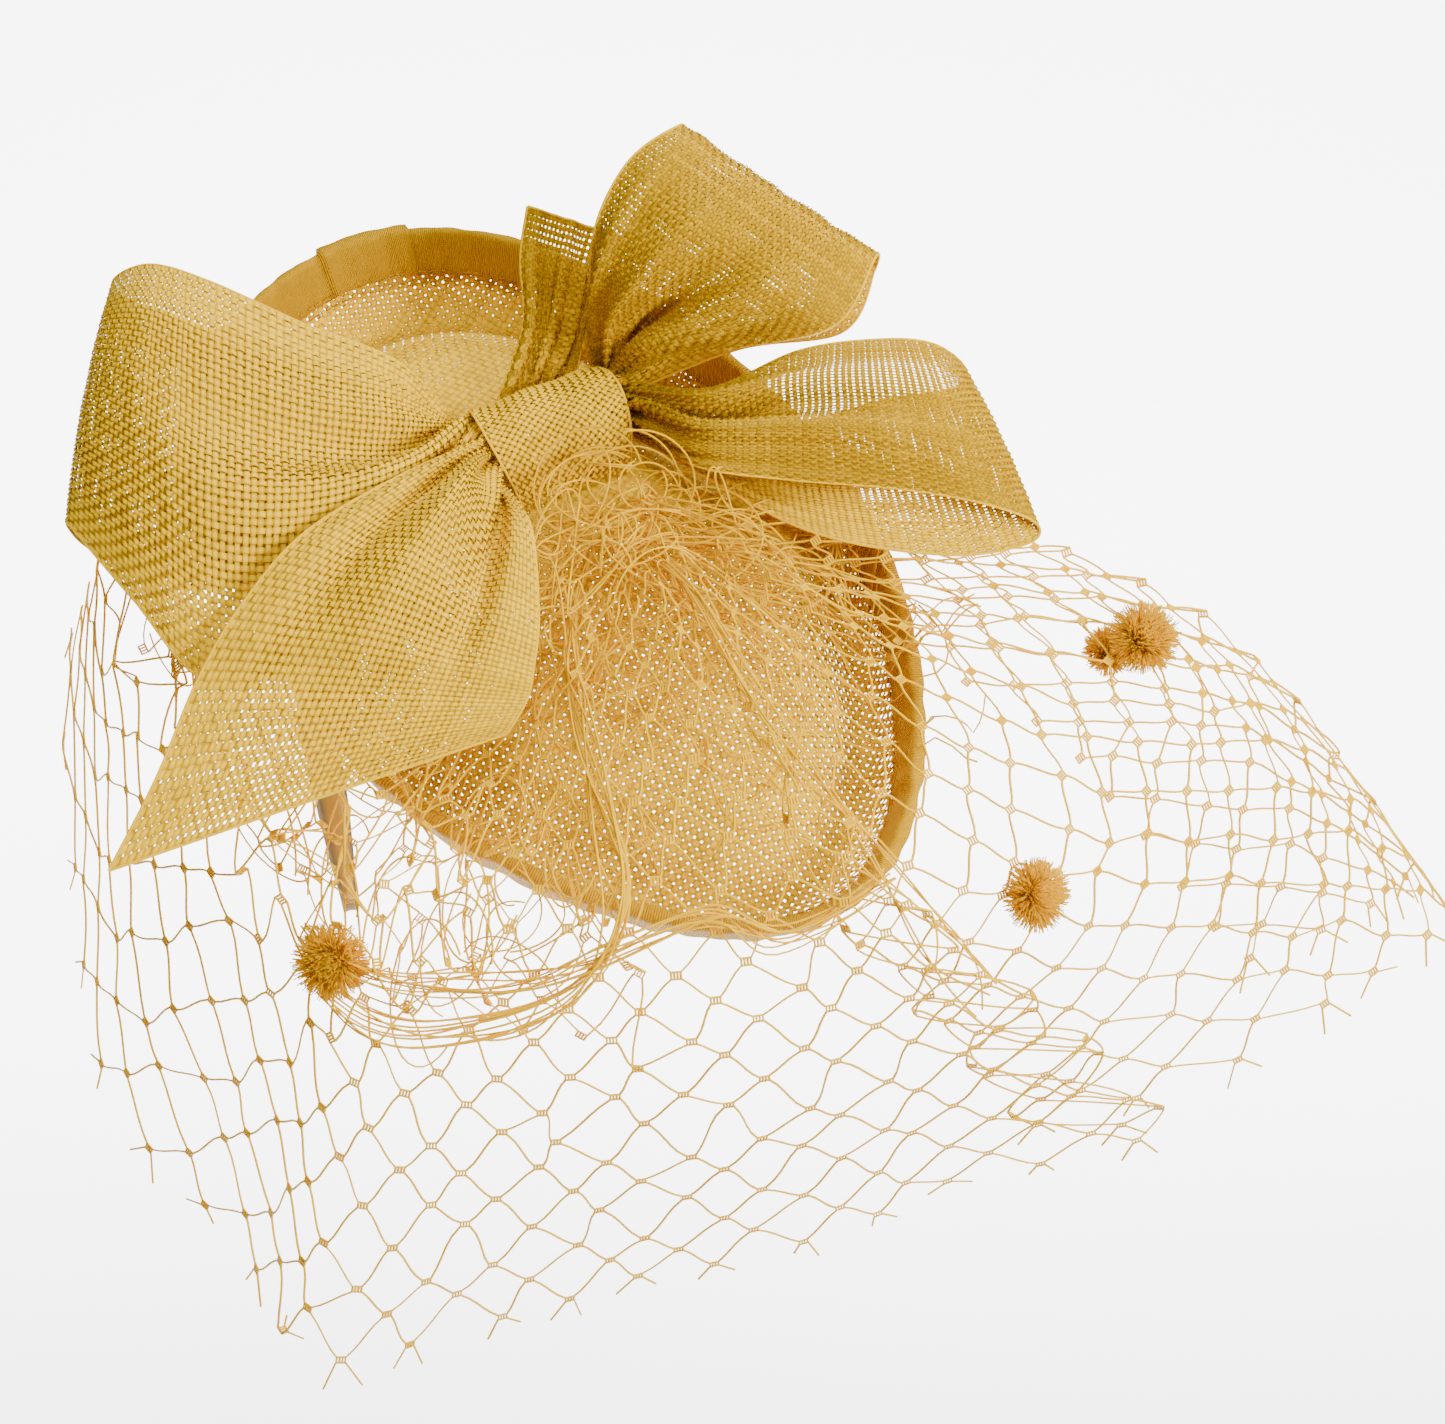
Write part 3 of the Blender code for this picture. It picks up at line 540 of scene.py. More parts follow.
def joined(parts):
    """Several lots of points, quads and tones as one."""
    points, faces, tones, start = [], [], [], 0
    for some, quads, shade in parts:
        points.append(some)
        faces.append(np.asarray(quads) + start)
        tones.append(np.broadcast_to(shade, (len(some),)))
        start += len(some)
    points, faces, tones = np.concatenate(points), np.concatenate(faces), np.concatenate(tones)
    used, renumbered = np.unique(faces, return_inverse=True)
    return points[used], renumbered.reshape(faces.shape), tones[used]


def weave(points, n_long, n_cross, seed, inside=None, edges=(), yarn_share=YARN_SHARE):
    """Plain weave over a grid, with a thread along each edge line: points, quads and tones."""
    rng = np.random.default_rng(seed)
    normals = grid_normals(points)
    parts = [
        yarns(points, normals, n_cross, n_long, False, rng, inside, yarn_share),
        yarns(points, normals, n_long, n_cross, True, rng, inside, yarn_share),
    ]
    for line in edges:
        parts.append((*edge_tube(line, EDGE_THREAD), EDGE_TONE))
    return joined(parts)


# %% [markdown]
# ## The hat base
#
# A milliner steams a flat piece of woven cloth over a block, so its yarns run straight in plan and
# the cloth bends down to the valley and up the brim. To copy that, the weave is laid on a flat
# lattice, and each lattice point is carried to the place whose distance along the saucer's profile
# is the same. Whatever reaches past the rim is trimmed, as with scissors. The crown behind the bow
# is woven tight, and the front and the brim are open enough to see through.

# %% Base surface
def base_height(radius):
    """Height of the base at a share of the rim's radius."""
    return (CROWN_HEIGHT * np.interp(radius, BASE_ROWS[:, 0], BASE_ROWS[:, 1])
            + RIM_HEIGHT * np.interp(radius, BASE_ROWS[:, 0], BASE_ROWS[:, 2]))


def crown_height(x, y):
    """Height of the base above a place in plan."""
    place = np.stack([x, y, np.zeros_like(x)], axis=-1)
    along = place @ polar(BASE_TURN) / (RIM_LENGTH / 2)
    aside = place @ polar(BASE_TURN + 90) / (RIM_WIDTH / 2)
    return base_height(np.hypot(along, aside))


def in_plan(along, aside):
    """Points in plan from their places along the base's long and short axis."""
    return along[..., None] * polar(BASE_TURN) + aside[..., None] * polar(BASE_TURN + 90)


def ellipse_turn(heading):
    """The rim's own turn for a heading from the middle."""
    return np.arctan2(np.sin(heading) / RIM_WIDTH, np.cos(heading) / RIM_LENGTH)


def rim_flat(turn):
    """The rim in plan, along its long and its short axis."""
    round_share = (np.cos(turn) + RIM_POINT_SPREAD) / (1 + RIM_POINT_SPREAD)
    share = 1.0 + RIM_POINT * np.cos(4 * turn) * round_share
    return RIM_LENGTH / 2 * np.cos(turn) * share, RIM_WIDTH / 2 * np.sin(turn) * share


def base_point(turn, radius):
    """A point of the base's middle surface."""
    flat = in_plan(*rim_flat(turn))
    return flat * radius[..., None] + base_height(radius)[..., None] * np.array((0, 0, 1.0))


# The table's corners are rounded by a short moving average, except close to the rim.
PROFILE = np.linspace(0, 1.06, 213)
AVERAGE = np.hanning(11)[1:-1]
SOFTENED = np.convolve(
    np.pad(base_height(PROFILE), len(AVERAGE) // 2, mode="edge"), AVERAGE / AVERAGE.sum(),
    mode="valid")
NEAR_RIM = PROFILE > 0.97
SOFTENED[NEAR_RIM] = base_height(PROFILE[NEAR_RIM])

BASE_PITCH = 0.00190
BASE_CLOTH_TURN = 24.0
LATTICE = 360
TRIM = 0.995
LATTICE_MARGIN = 1.01
WALK_END = 1.05
# share of the way to the rim, and how much of its pitch a yarn fills there
BASE_TIGHT = ((0.0, 0.78, 0.87, 1.0), (1.0, 0.98, 0.78, 0.70))
CROWN_TIGHT = 0.8
FRONT_OPENING = 0.22
FRONT_START = 0.012
FRONT_BLEND = 0.03


def blocked_grid():
    """The flat cloth lattice blocked over the saucer, and which of it is inside the rim."""
    headings = np.linspace(-np.pi, np.pi, 241)
    rim = np.hypot(*rim_flat(ellipse_turn(headings)))
    steps = np.hypot(np.diff(PROFILE)[None] * rim[:, None], np.diff(SOFTENED)[None])
    walked = np.concatenate([np.zeros((len(rim), 1)), np.cumsum(steps, axis=1)], axis=1)
    reach = walked[:, np.searchsorted(PROFILE, 1.0)]
    shares = np.linspace(0, WALK_END, 211)
    inverse = np.array([np.interp(shares * r, w, PROFILE) for r, w in zip(reach, walked)])
    half = reach.max() * LATTICE_MARGIN
    line = np.linspace(-half, half, LATTICE)
    x, y = np.meshgrid(line, line, indexing="ij")
    heading = np.arctan2(y, x) + math.radians(BASE_CLOTH_TURN)
    heading = (heading + np.pi) % (2 * np.pi) - np.pi
    where = (heading + np.pi) / (2 * np.pi)
    full = np.interp(heading, headings, reach)
    share = np.hypot(x, y) / full
    radius = sample(inverse[..., None], where, np.clip(share / WALK_END, 0, 1))[..., 0]
    along, aside = rim_flat(ellipse_turn(heading))
    points = in_plan(along * radius, aside * radius)
    points[..., 2] = np.interp(radius, PROFILE, SOFTENED)
    tight = np.interp(share, *BASE_TIGHT)
    front = np.clip((FRONT_START - points[..., 1]) / FRONT_BLEND, 0, 1)
    tight = tight - np.where(tight > CROWN_TIGHT, FRONT_OPENING, 0) * front
    return points, (share < TRIM).astype(float), tight, 2 * half


base_grid, base_inside, base_tight, cloth_size = blocked_grid()
base_count = round(cloth_size / BASE_PITCH)
base_points, base_faces, base_tones = weave(
    base_grid, base_count, base_count, 11, inside=base_inside, yarn_share=base_tight)
base_cloth = mesh_piece(
    "base_cloth", base_points, base_faces, WOVEN, base_tones)
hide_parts("base")
print("base", base_count, "yarns each way,", len(base_faces), "quads")

# %% [markdown]
# ## The bound rim
#
# The raw edge of the cloth is hidden in a folded ribbon with fine crosswise ribs. It is a strip
# that comes down the brim's inside, over the edge and down the outside. A slow waviness keeps it
# from looking moulded, and a doubled stretch shows where its two ends lap. The tone is darkened at
# the lap's two edges as a painted shadow of the step there.

# %% Binding
def binding_grid(around):
    """The folded ribbon as a grid, round the rim by down its fold."""
    turn = np.linspace(0, 2 * np.pi, around)
    edge = base_point(turn, np.ones(around))
    foot = BASE_ROWS[-2, 0]
    slope = np.linalg.norm(edge - base_point(turn, np.full(around, foot)), axis=1)
    inset = 1.0 - (1.0 - foot) * BINDING_DEPTH / slope
    hem = base_point(turn, inset)
    up = unit(edge - hem)
    tangent = unit(np.roll(edge[:-1], -1, axis=0) - np.roll(edge[:-1], 1, axis=0))
    tangent = np.concatenate([tangent, tangent[:1]])
    inward = unit(np.cross(up, tangent))
    rise = np.linalg.norm(edge - hem, axis=1)[:, None]
    lines = [hem + up * rise * down + inward * out * OUT for down, out in FOLD]
    return np.stack(lines, axis=1), turn, inward, up, hem


OUT = CLOTH / 2 + GAP + BINDING_CLOTH
# share of the binding's height, and how far off the brim as a share of OUT, inside then outside
INSIDE_FOLD = (
    (0.02, 0.55), (0.00, 0.95), (0.03, 1.05), (0.25, 1.0), (0.5, 1.0), (0.75, 1.0), (0.96, 1.0),
    (1.03, 0.8), (1.07, 0.4),
)
FOLD = (*INSIDE_FOLD, (1.08, 0.0), *((up, -out) for up, out in reversed(INSIDE_FOLD)))
RIPPLE = 0.00016
RIPPLE_WAVES = ((41, 0), (67, 1), (23, 2))
RIBS_ROUND = 48
rim_lines, rim_turn, rim_inward, rim_up, rim_hem = binding_grid(721)
ripple = RIPPLE * sum(np.sin(rim_turn * waves + start) for waves, start in RIPPLE_WAVES)
LAP_FROM = 159.0
LAP_TO = 179.0
LAP_STEP = 0.0009
LAP_SHADOW_WIDTH = 0.012
PAINTED_LAP_SHADOW = 0.5
lap = LAP_STEP * ((rim_turn > math.radians(LAP_FROM)) & (rim_turn < math.radians(LAP_TO)))
swell = (ripple + lap)[:, None] * np.array([np.sign(out) for _, out in FOLD])[None]
rim_lines = rim_lines + rim_inward[:, None] * swell[..., None]
rim_lines = rim_lines + (rim_up * lap[:, None])[:, None]
rim_faces = strip_faces(1, len(rim_turn), len(FOLD))
seams = np.radians((LAP_FROM, LAP_TO))
# Painted shadow: the tone is darkened at both edges of the lap, where its step would cast shade.
lap_shadow_mask = np.exp(-((rim_turn[:, None] - seams) / LAP_SHADOW_WIDTH) ** 2).sum(axis=1)
rim_tones = 0.5 + 0.1 * np.sin(rim_turn * 5) - PAINTED_LAP_SHADOW * lap_shadow_mask
rim_tones = np.broadcast_to(rim_tones[:, None], rim_lines.shape[:2])
rim_piece = mesh_piece(
    "rim_ribbon", rim_lines.reshape(-1, 3), rim_faces, TAPE, rim_tones.ravel())
rim_uv = rim_piece.data.uv_layers.new(name="ribs")
rim_index = np.empty(len(rim_piece.data.loops), np.int32)
rim_piece.data.loops.foreach_get("vertex_index", rim_index)
rim_u = (rim_index // len(FOLD)) / (len(rim_turn) - 1) * RIBS_ROUND
rim_v = (rim_index % len(FOLD)) / len(FOLD)
rim_uv.data.foreach_set("uv", np.stack([rim_u, rim_v], axis=1).astype(np.float32).ravel())
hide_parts("rim_binding")
print("binding", len(rim_faces), "quads")

# %% [markdown]
# ## Ribbons of the bow
#
# The bow is one wide ribbon of the same open cloth, pinched by the knot. Each loop is laid from its
# table of sections, which say where both edges of the ribbon run. Pinching makes folds that are
# sharp at the knot and die away outwards, so waves are added that fade with the distance from it.

# %% Ribbon surfaces
def knot_frame(along, across, up):
    """A place in the knot's own directions."""
    along, across, up = np.broadcast_arrays(
        np.asarray(along, float), np.asarray(across, float), np.asarray(up, float))
    place = np.array((KNOT_X, KNOT_Y, 0)) + along[..., None] * polar(KNOT_TURN)
    place = place + across[..., None] * polar(KNOT_TURN + 90)
    place[..., 2] = crown_height(place[..., 0], place[..., 1]) + CLOTH / 2 + KNOT_SEAT + up
    return place


def throat_line(ribbon, throat, along, share):
    """A ribbon's line in the knot's opening."""
    room = KNOT_CLOTH + CLOTH / 2 + GAP
    across = throat[0] * (1 - share) + throat[1] * share
    ceiling = (KNOT_RISE - room) * np.sqrt(np.maximum(1 - across ** 2, 0))
    up = np.maximum(ceiling * throat[2], CLOTH / 2 + GAP)
    return knot_frame(
        ribbon.mouth * KNOT_WIDTH / 2 * along, (KNOT_SPAN / 2 - room) * across, up)


def standing_line(up, share):
    """A short ribbon's foot behind the knot."""
    back = KNOT_SPAN / 2 + KNOT_CLOTH / 2 + CLOTH / 2 + GAP * 2
    along = KNOT_WIDTH / 2 * (STANDING_START * (1 - share) + STANDING_END * share)
    return knot_frame(along, back, up)


def ribbon_lines(ribbon, share):
    """Every section of a ribbon as a line of points across it."""
    forward = polar(ribbon.heading)
    aside = polar(ribbon.heading + 90 * ribbon.side)
    centre = np.array((KNOT_X, KNOT_Y, CROWN_HEIGHT))
    edges = []
    for row in ribbon.sections:
        edges.append([
            centre + forward * reach * ribbon.length + aside * side * RIBBON_WIDTH
            + np.array((0, 0, lift * BOW_RISE)) for reach, side, lift in (row[:3], row[3:6])])
    if ribbon.start:
        lines = [throat_line(ribbon, ribbon.start, depth, share) for depth in THROAT_DEPTHS]
    else:
        lines = [standing_line(GAP, share), standing_line(KNOT_RISE / 4, share)]
    for number, row in enumerate(ribbon.sections):
        a, b = edges[number]
        before = edges[max(number - 1, 0)]
        after = edges[min(number + 1, len(edges) - 1)]
        way = (after[0] + after[1]) - (before[0] + before[1])
        normal = unit(np.cross(way, b - a)) * -ribbon.side
        fade = max(1.0 - number / PLEAT_SECTIONS, 0.0)
        bulge = row[6] * RIBBON_WIDTH * 4 * share * (1 - share)
        for place, width, depth in ribbon.pleats:
            bulge = bulge + fade * PLEAT_DEPTH * depth * np.exp(-((share - place) / width) ** 2)
        lines.append(a + (b - a) * share[:, None] + normal * bulge[:, None])
    if ribbon.end:
        lines += [throat_line(ribbon, ribbon.end, depth, share)
                  for depth in reversed(THROAT_DEPTHS)]
    return np.array(lines)


GATHER_DEPTH = 0.0030
GATHER_REACH = 0.016
GATHER_WAVES = (3.6, 5.3, 7.9)


def ribbon_grid(ribbon, seed):
    """A ribbon's surface as an even grid with its gathers, and its real length."""
    share = np.linspace(0, 1, 181)
    lines = ribbon_lines(ribbon, share)
    grid = through(lines, np.linspace(0, 1, 241))
    grid, length = evened(grid, 261)
    along = np.linspace(0, length, len(grid))
    rng = np.random.default_rng(seed)
    folds = np.zeros(len(share))
    for count in GATHER_WAVES:
        folds += np.sin(2 * np.pi * (count * share + rng.random())) * (GATHER_WAVES[0] / count)
    reach = along / GATHER_REACH
    depth = GATHER_DEPTH * reach * np.exp(1 - reach)
    if ribbon.end:
        back = (length - along) / GATHER_REACH
        depth = depth + GATHER_DEPTH * back * np.exp(1 - back)
    edge = np.minimum(1, np.minimum(share, 1 - share) * 12 + 0.2)
    grid = grid + grid_normals(grid) * (depth[:, None] * folds[None] * edge[None])[..., None] * 0.5
    return grid, length


# %% [markdown]
# Each surface is now woven. The yarns are spread a little unevenly, as in the real cloth, and are
# pressed together at both borders, where a ribbon has its selvage.

# %% Bow pieces
SELVAGE_SHARE = 0.88
PATCH_SPREAD = 0.05
SHARE_LIMITS = (0.6, 0.84)
SMALL_TAIL_WIDTH = 0.5
for number, ribbon in enumerate(RIBBONS):
    grid, length = ribbon_grid(ribbon, 20 + number)
    wide = RIBBON_WIDTH if ribbon.start else RIBBON_WIDTH * SMALL_TAIL_WIDTH
    n_long, n_cross = round(length / PITCH), round(wide / PITCH)
    edges = [grid[:, 0], grid[:, -1]]
    if not ribbon.end:
        edges.append(grid[-1])
    patches = np.random.default_rng(50 + number).normal(0, PATCH_SPREAD, (9, 11))
    share = np.clip(YARN_SHARE + patches, *SHARE_LIMITS)
    share[:, (0, 1, -2, -1)] = SELVAGE_SHARE
    points, faces, tones = weave(
        grid, n_long, n_cross, 40 + number, edges=edges, yarn_share=share)
    piece = mesh_piece(
        ribbon.name + "_cloth", points, faces, WOVEN, tones)
    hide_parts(ribbon.name)
    print(ribbon.name, round(length * 1000), "mm,", n_long, "by", n_cross, "yarns,",
          len(faces), "quads")

# %% [markdown]
# ## The knot
#
# A shorter band of the ribbon is folded on the bias over the bow's middle, so its yarns run
# slantwise. The same weave is laid on a lattice turned by 38 degrees, and only what falls on the
# band is kept.

# %% Knot
KNOT_LENGTH = 0.056
KNOT_PITCH = 0.00150
KNOT_SHARE = 0.68
KNOT_CREASE = 0.0005
KNOT_LIFT = 0.0004
BIAS = math.radians(38)


def knot_surface(u, v):
    """The arch of the knot: u round it, v along the bow."""
    turn = np.pi * u
    across = v * 2 - 1
    spread = KNOT_PINCH + (1 - KNOT_PINCH) * np.sin(turn)
    half = KNOT_SPAN / 2 - KNOT_CLOTH / 2
    rise = KNOT_RISE - KNOT_CLOTH / 2
    crease = KNOT_CREASE * np.sin(u * 9 + across * 7) * np.sin(np.pi * u)
    return knot_frame(KNOT_WIDTH / 2 * across * spread, half * np.cos(turn),
                      rise * np.sin(turn) + crease + KNOT_LIFT)


knot_size = math.hypot(KNOT_LENGTH, KNOT_WIDTH)
knot_line = np.linspace(-0.5, 0.5, 200)
a, b = np.meshgrid(knot_line, knot_line, indexing="ij")
knot_u = (a * math.cos(BIAS) - b * math.sin(BIAS)) * knot_size / KNOT_LENGTH + 0.5
knot_v = (a * math.sin(BIAS) + b * math.cos(BIAS)) * knot_size / KNOT_WIDTH + 0.5
knot_inside = ((np.abs(knot_u - 0.5) < 0.5) & (np.abs(knot_v - 0.5) < 0.5)).astype(float)
knot_grid = knot_surface(np.clip(knot_u, 0, 1), np.clip(knot_v, 0, 1))
knot_count = round(knot_size / KNOT_PITCH)
knot_rim = np.linspace(0, 1, 60)
knot_edges = [knot_surface(knot_rim, np.full(60, side)) for side in (0.0, 1.0)]
knot_points, knot_faces, knot_tones = weave(
    knot_grid, knot_count, knot_count, 60, inside=knot_inside, edges=knot_edges,
    yarn_share=KNOT_SHARE)
knot_piece = mesh_piece(
    "knot_band", knot_points, knot_faces, WOVEN, knot_tones)
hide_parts("bow_knot")
print("knot", len(knot_faces), "quads")

# %% [markdown]
# ## The veil's surface
#
# Birdcage netting is stiff, so it stands out from the gather like a skirt before it falls to the
# hem. The table gives its path at thirteen headings. The net is longer than the table's curve: at
# the front it doubles back in a fold, and at the right its end turns under. One short table says,
# for places along the net, where on the surface they lie and how far off it they stand.

# %% Veil surface
def veil_surface(place, down):
    """A point of the veil from its place along and its share down."""
    table = through(VEIL_TABLE, place.ravel())
    down_flat = np.maximum(down.ravel(), VEIL_STATIONS[0])
    gather_z = crown_height(np.array(VEIL_X), np.array(VEIL_Y)) / VEIL_DEPTH + VEIL_GATHER_LIFT
    reach = np.stack([
        np.full(len(table), VEIL_GATHER_RADIUS / VEIL_DEPTH), table[:, 2], table[:, 4],
        table[:, 6]])
    lift = np.stack([
        np.full(len(table), float(gather_z)), table[:, 3], table[:, 5], table[:, 7]])
    along = np.interp(down_flat, VEIL_STATIONS, (0, 1, 2, 3))
    first = np.minimum(along.astype(int), 2)
    part = along - first
    values = []
    for rows in (reach, lift):
        padded = padded_ends(rows)
        pick = np.arange(len(table))
        values.append(curve(*(padded[first + k, pick] for k in range(4)), part))
    blend = np.maximum((down_flat - VEIL_STATIONS[1]) / (1 - VEIL_STATIONS[1]), 0)
    heading = table[:, 0] * (1 - blend) + table[:, 1] * blend
    points = polar(heading) * (values[0] * VEIL_DEPTH)[:, None]
    points[:, 2] = values[1] * VEIL_DEPTH
    points += np.array((VEIL_X, VEIL_Y, 0))
    return points.reshape(place.shape + (3,))


# share down, where the front fold's middle lies, half its overlap
FOLD_TABLE = np.array((
    (0.00, 0.620, 0.000),
    (0.35, 0.620, 0.004),
    (0.55, 0.628, 0.024),
    (0.70, 0.665, 0.027),
    (0.85, 0.700, 0.027),
    (1.00, 0.726, 0.026),
))
FOLD_STEP = 0.007
TURN_UNDER = 0.17
TURN_DEPTH = 0.022
PLEATS = ((61, 0.0045), (103, 0.003))
CRUSH_END = 0.42
CRUSH_DEPTH = 0.014
CRUSH_PLACE = 0.011
CRUSH_DOWN = 0.03
FOLD_REACH = 0.06
VEIL_MIDDLE_Z = -0.03


def outward(points):
    """The way out of the veil's middle at many points."""
    return unit(points - np.array((VEIL_X, VEIL_Y, VEIL_MIDDLE_Z)))


def net_surface(place, down):
    """The net's surface with its fold, its turned end, its pleats and its crushed left side."""
    middle = np.interp(down, FOLD_TABLE[:, 0], FOLD_TABLE[:, 1])
    half = np.maximum(np.interp(down, FOLD_TABLE[:, 0], FOLD_TABLE[:, 2]), 1e-4)
    along = place * (1 + 4 * half + TURN_UNDER)
    inner = np.clip((along - middle - half) / (2 * half), 0, 1)
    end = np.maximum(along - 1 - 4 * half, 0)
    where = np.where(along < middle + half, along, middle + half * np.cos(np.pi * inner))
    where = np.where(along > middle + 3 * half, along - 4 * half - 2 * end, where)
    near = np.exp(-((along - middle - half) / FOLD_REACH) ** 2)
    step = np.where(along < middle + half, near, 1 - 2 * inner)
    far = -np.exp(-((along - middle - 3 * half) / FOLD_REACH) ** 2)
    step = np.where(along > middle + 3 * half, far, step)
    off = FOLD_STEP * step * np.clip(half / 0.02, 0, 1)
    off = off - TURN_DEPTH * np.sqrt(np.clip(end / TURN_UNDER, 0, 1)) * np.clip(down * 1.4, 0, 1)
    fade = np.exp(-((down - 0.24) / 0.12) ** 2)
    for waves, depth in PLEATS:
        off = off + fade * depth * np.sin(place * waves + waves)
    crush = np.clip((CRUSH_END - where) / 0.1, 0, 1) * np.exp(-((down - 0.55) / 0.13) ** 2)
    sway = np.sin(where * 95 + down * 21) + np.sin(where * 63 - down * 47 + 2)
    swirl = np.sin(where * 77 - down * 31 + 1) + np.sin(where * 49 + down * 55)
    points = veil_surface(
        np.clip(where + crush * CRUSH_PLACE * swirl, 0, 1), down + crush * CRUSH_DOWN * sway)
    off = off + crush * CRUSH_DEPTH * 0.5 * (swirl * sway * 0.5 + 0.6)
    return points + outward(points) * off[..., None]


# %% [markdown]
# ## The crumpled gather
#
# All the net's upper edge is drawn into one bunch under the knot. The spare net stands up there in
# layers, crushed into loops, before it runs out over the brim. Each layer is a piece of the same
# net laid round the gather and crumpled by a few slow waves, always kept above the hat.

# %% Crumpled layers
Crumple = namedtuple("Crumple", "start end inner outer rise depth seed")
CRUMPLE_WAVES = (4, 12)
CRUMPLE_SIDE = 0.45
CRUMPLE_LIFT = 0.4
LAYER_GAP = 0.0025
LOWEST = 0.001
CRUMPLES = (
    Crumple(225, 352, 0.006, 0.062, 0.016, 0.014, 1),
    Crumple(220, 350, 0.008, 0.080, 0.010, 0.012, 2),
    Crumple(230, 352, 0.010, 0.095, 0.006, 0.012, 3),
)


def ground_under(points):
    """The base's height under points, or just above its origin where it dips lower."""
    return np.maximum(crown_height(points[..., 0], points[..., 1]), LOWEST)


def crumpled_surface(layer):
    """The surface of one crushed layer of net as a function of place and share down."""
    draw = np.random.default_rng(layer.seed)
    waves = draw.uniform(*CRUMPLE_WAVES, (9, 2)) * draw.choice((-1, 1), (9, 2))
    phases = draw.uniform(0, 6.28, 9)

    def surface(place, down):
        turn = layer.start + (layer.end - layer.start) * place
        radius = layer.inner + (layer.outer - layer.inner) * np.clip(down, 0, 1.2)
        points = polar(turn) * radius[..., None] + np.array((VEIL_X, VEIL_Y, 0))
        sway = np.sin(place[..., None] * waves[:, 0] * 3 + down[..., None] * waves[:, 1] + phases)
        size = layer.depth * np.clip(down * 2.0, 0.2, 1)
        points[..., 0] += size * sway[..., 0:3].sum(axis=-1) * CRUMPLE_SIDE
        points[..., 1] += size * sway[..., 3:6].sum(axis=-1) * CRUMPLE_SIDE
        arch = layer.rise * np.sin(np.pi * np.clip(down, 0, 1) ** 0.6)
        lift = np.abs(sway[..., 6:9].sum(axis=-1)) * size * CRUMPLE_LIFT
        points[..., 2] = ground_under(points) + LAYER_GAP + arch + lift
        return points

    return surface


# %% [markdown]
# ## The knotted net
#
# Each crossing of this netting is a tiny ladder: two strands run side by side for two millimetres,
# tied by short rungs. From its four corners the strands leave slantwise and bend a little on their
# way to the next ladder. The lines are bare edges here, and Geometry Nodes turns them all into
# round strands of one radius.

# %% Net lines
NET_COLUMNS = 33
NET_ROWS = 12
RAIL = 0.0023
RUNG = 0.0017
RAIL_LIMIT = 0.22
RUNG_LIMIT = 0.20
RUNG_PLACES = (-0.9, -0.3, 0.3, 0.9)
STRAND_PULL = 0.88
STRAND_SPREAD = 0.22
STRAND_STEPS = 5
CUT_LENGTH = (0.002, 0.008)
CUT_SPREAD = (0.001, 0.005)


def hermite(starts, start_ways, ends, end_ways, steps):
    """Curves between many pairs of points."""
    t = np.linspace(0, 1, steps + 1)[None, :, None]
    return (starts[:, None] * (2 * t ** 3 - 3 * t ** 2 + 1)
            + start_ways[:, None] * (t ** 3 - 2 * t ** 2 + t)
            + ends[:, None] * (3 * t ** 2 - 2 * t ** 3)
            + end_ways[:, None] * (t ** 3 - t ** 2))


def net_lines(surface, columns, rows, first_down, seed, uneven=0.07, curl=0.05, cut_ends=True):
    """Strands, rails, rungs and cut ends of a net over a surface, each a lot of polylines."""
    draw = np.random.default_rng(seed)
    spots = [(c + 0.5 * (h % 2), h) for h in range(2 * rows + 1) for c in range(columns + 1)
             if c + 0.5 * (h % 2) <= columns]
    column, half_row = np.array(spots).T
    place = column / columns + draw.normal(0, uneven / columns, len(spots))
    down = first_down + (1 - first_down) * (half_row + draw.normal(0, uneven * 2, len(spots))) / (
        2 * rows)
    knots = surface(place, down)
    aside = surface(place + 0.004, down) - surface(place - 0.004, down)
    below = surface(place, down + 0.01) - surface(place, down - 0.01)
    cell = np.linalg.norm(aside, axis=1, keepdims=True) / 0.008 / columns
    rail_way = unit(aside)
    rung_way = unit(below - rail_way * np.sum(below * rail_way, axis=1, keepdims=True))
    rail = rail_way * np.minimum(RAIL, cell * RAIL_LIMIT) / 2
    rung = rung_way * np.minimum(RUNG, cell * RUNG_LIMIT) / 2
    lookup = {(round(c * 2), h): k for k, (c, h) in enumerate(spots)}
    pairs = [(k, lookup[(round(c * 2) + way, h + 1)], way) for k, (c, h) in enumerate(spots)
             for way in (1, -1) if (round(c * 2) + way, h + 1) in lookup]
    one, two, way = np.array(pairs).T
    way = way[:, None]
    starts = knots[one] + rail[one] * way + rung[one]
    ends = knots[two] - rail[two] * way - rung[two]
    chord = ends - starts
    span = np.linalg.norm(chord, axis=1, keepdims=True)
    bow = draw.normal(0, curl, (len(pairs), 3)) * span
    start_way = chord * STRAND_PULL + rail_way[one] * way * span * STRAND_SPREAD + bow
    end_way = chord * STRAND_PULL + rail_way[two] * way * span * STRAND_SPREAD - bow
    lines = [hermite(starts, start_way, ends, end_way, STRAND_STEPS)]
    for side in (-1, 1):
        lines.append(np.stack([knots - rail + rung * side, knots + rail + rung * side], axis=1))
    for share in RUNG_PLACES:
        lines.append(np.stack([knots + rail * share - rung, knots + rail * share + rung], axis=1))
    if cut_ends:
        last = half_row == 2 * rows
        for side in (-1, 1):
            root = knots[last] + rail[last] * side + rung[last]
            tip = root + rung_way[last] * draw.uniform(*CUT_LENGTH, (last.sum(), 1))
            tip = tip + rail_way[last] * side * draw.uniform(*CUT_SPREAD, (last.sum(), 1))
            lines.append(np.stack([root, tip], axis=1))
    return lines


# %% [markdown]
# ## Loose strands
#
# In the gather the ladders can't be made out any more, so the crushed layers are unbroken strands
# that cross both ways. Loose loops stand up among them. At the left and the front the slack net
# hangs inside the veil as a second layer, with a few more loops lying on it.

# %% Loose strands
CRUSH_SLOPES = (-0.55, 0.55)
CRUSH_UNEVEN = 0.25
CRUSH_SWAY = 0.012
CRUSH_SPEEDS = (8, 16)


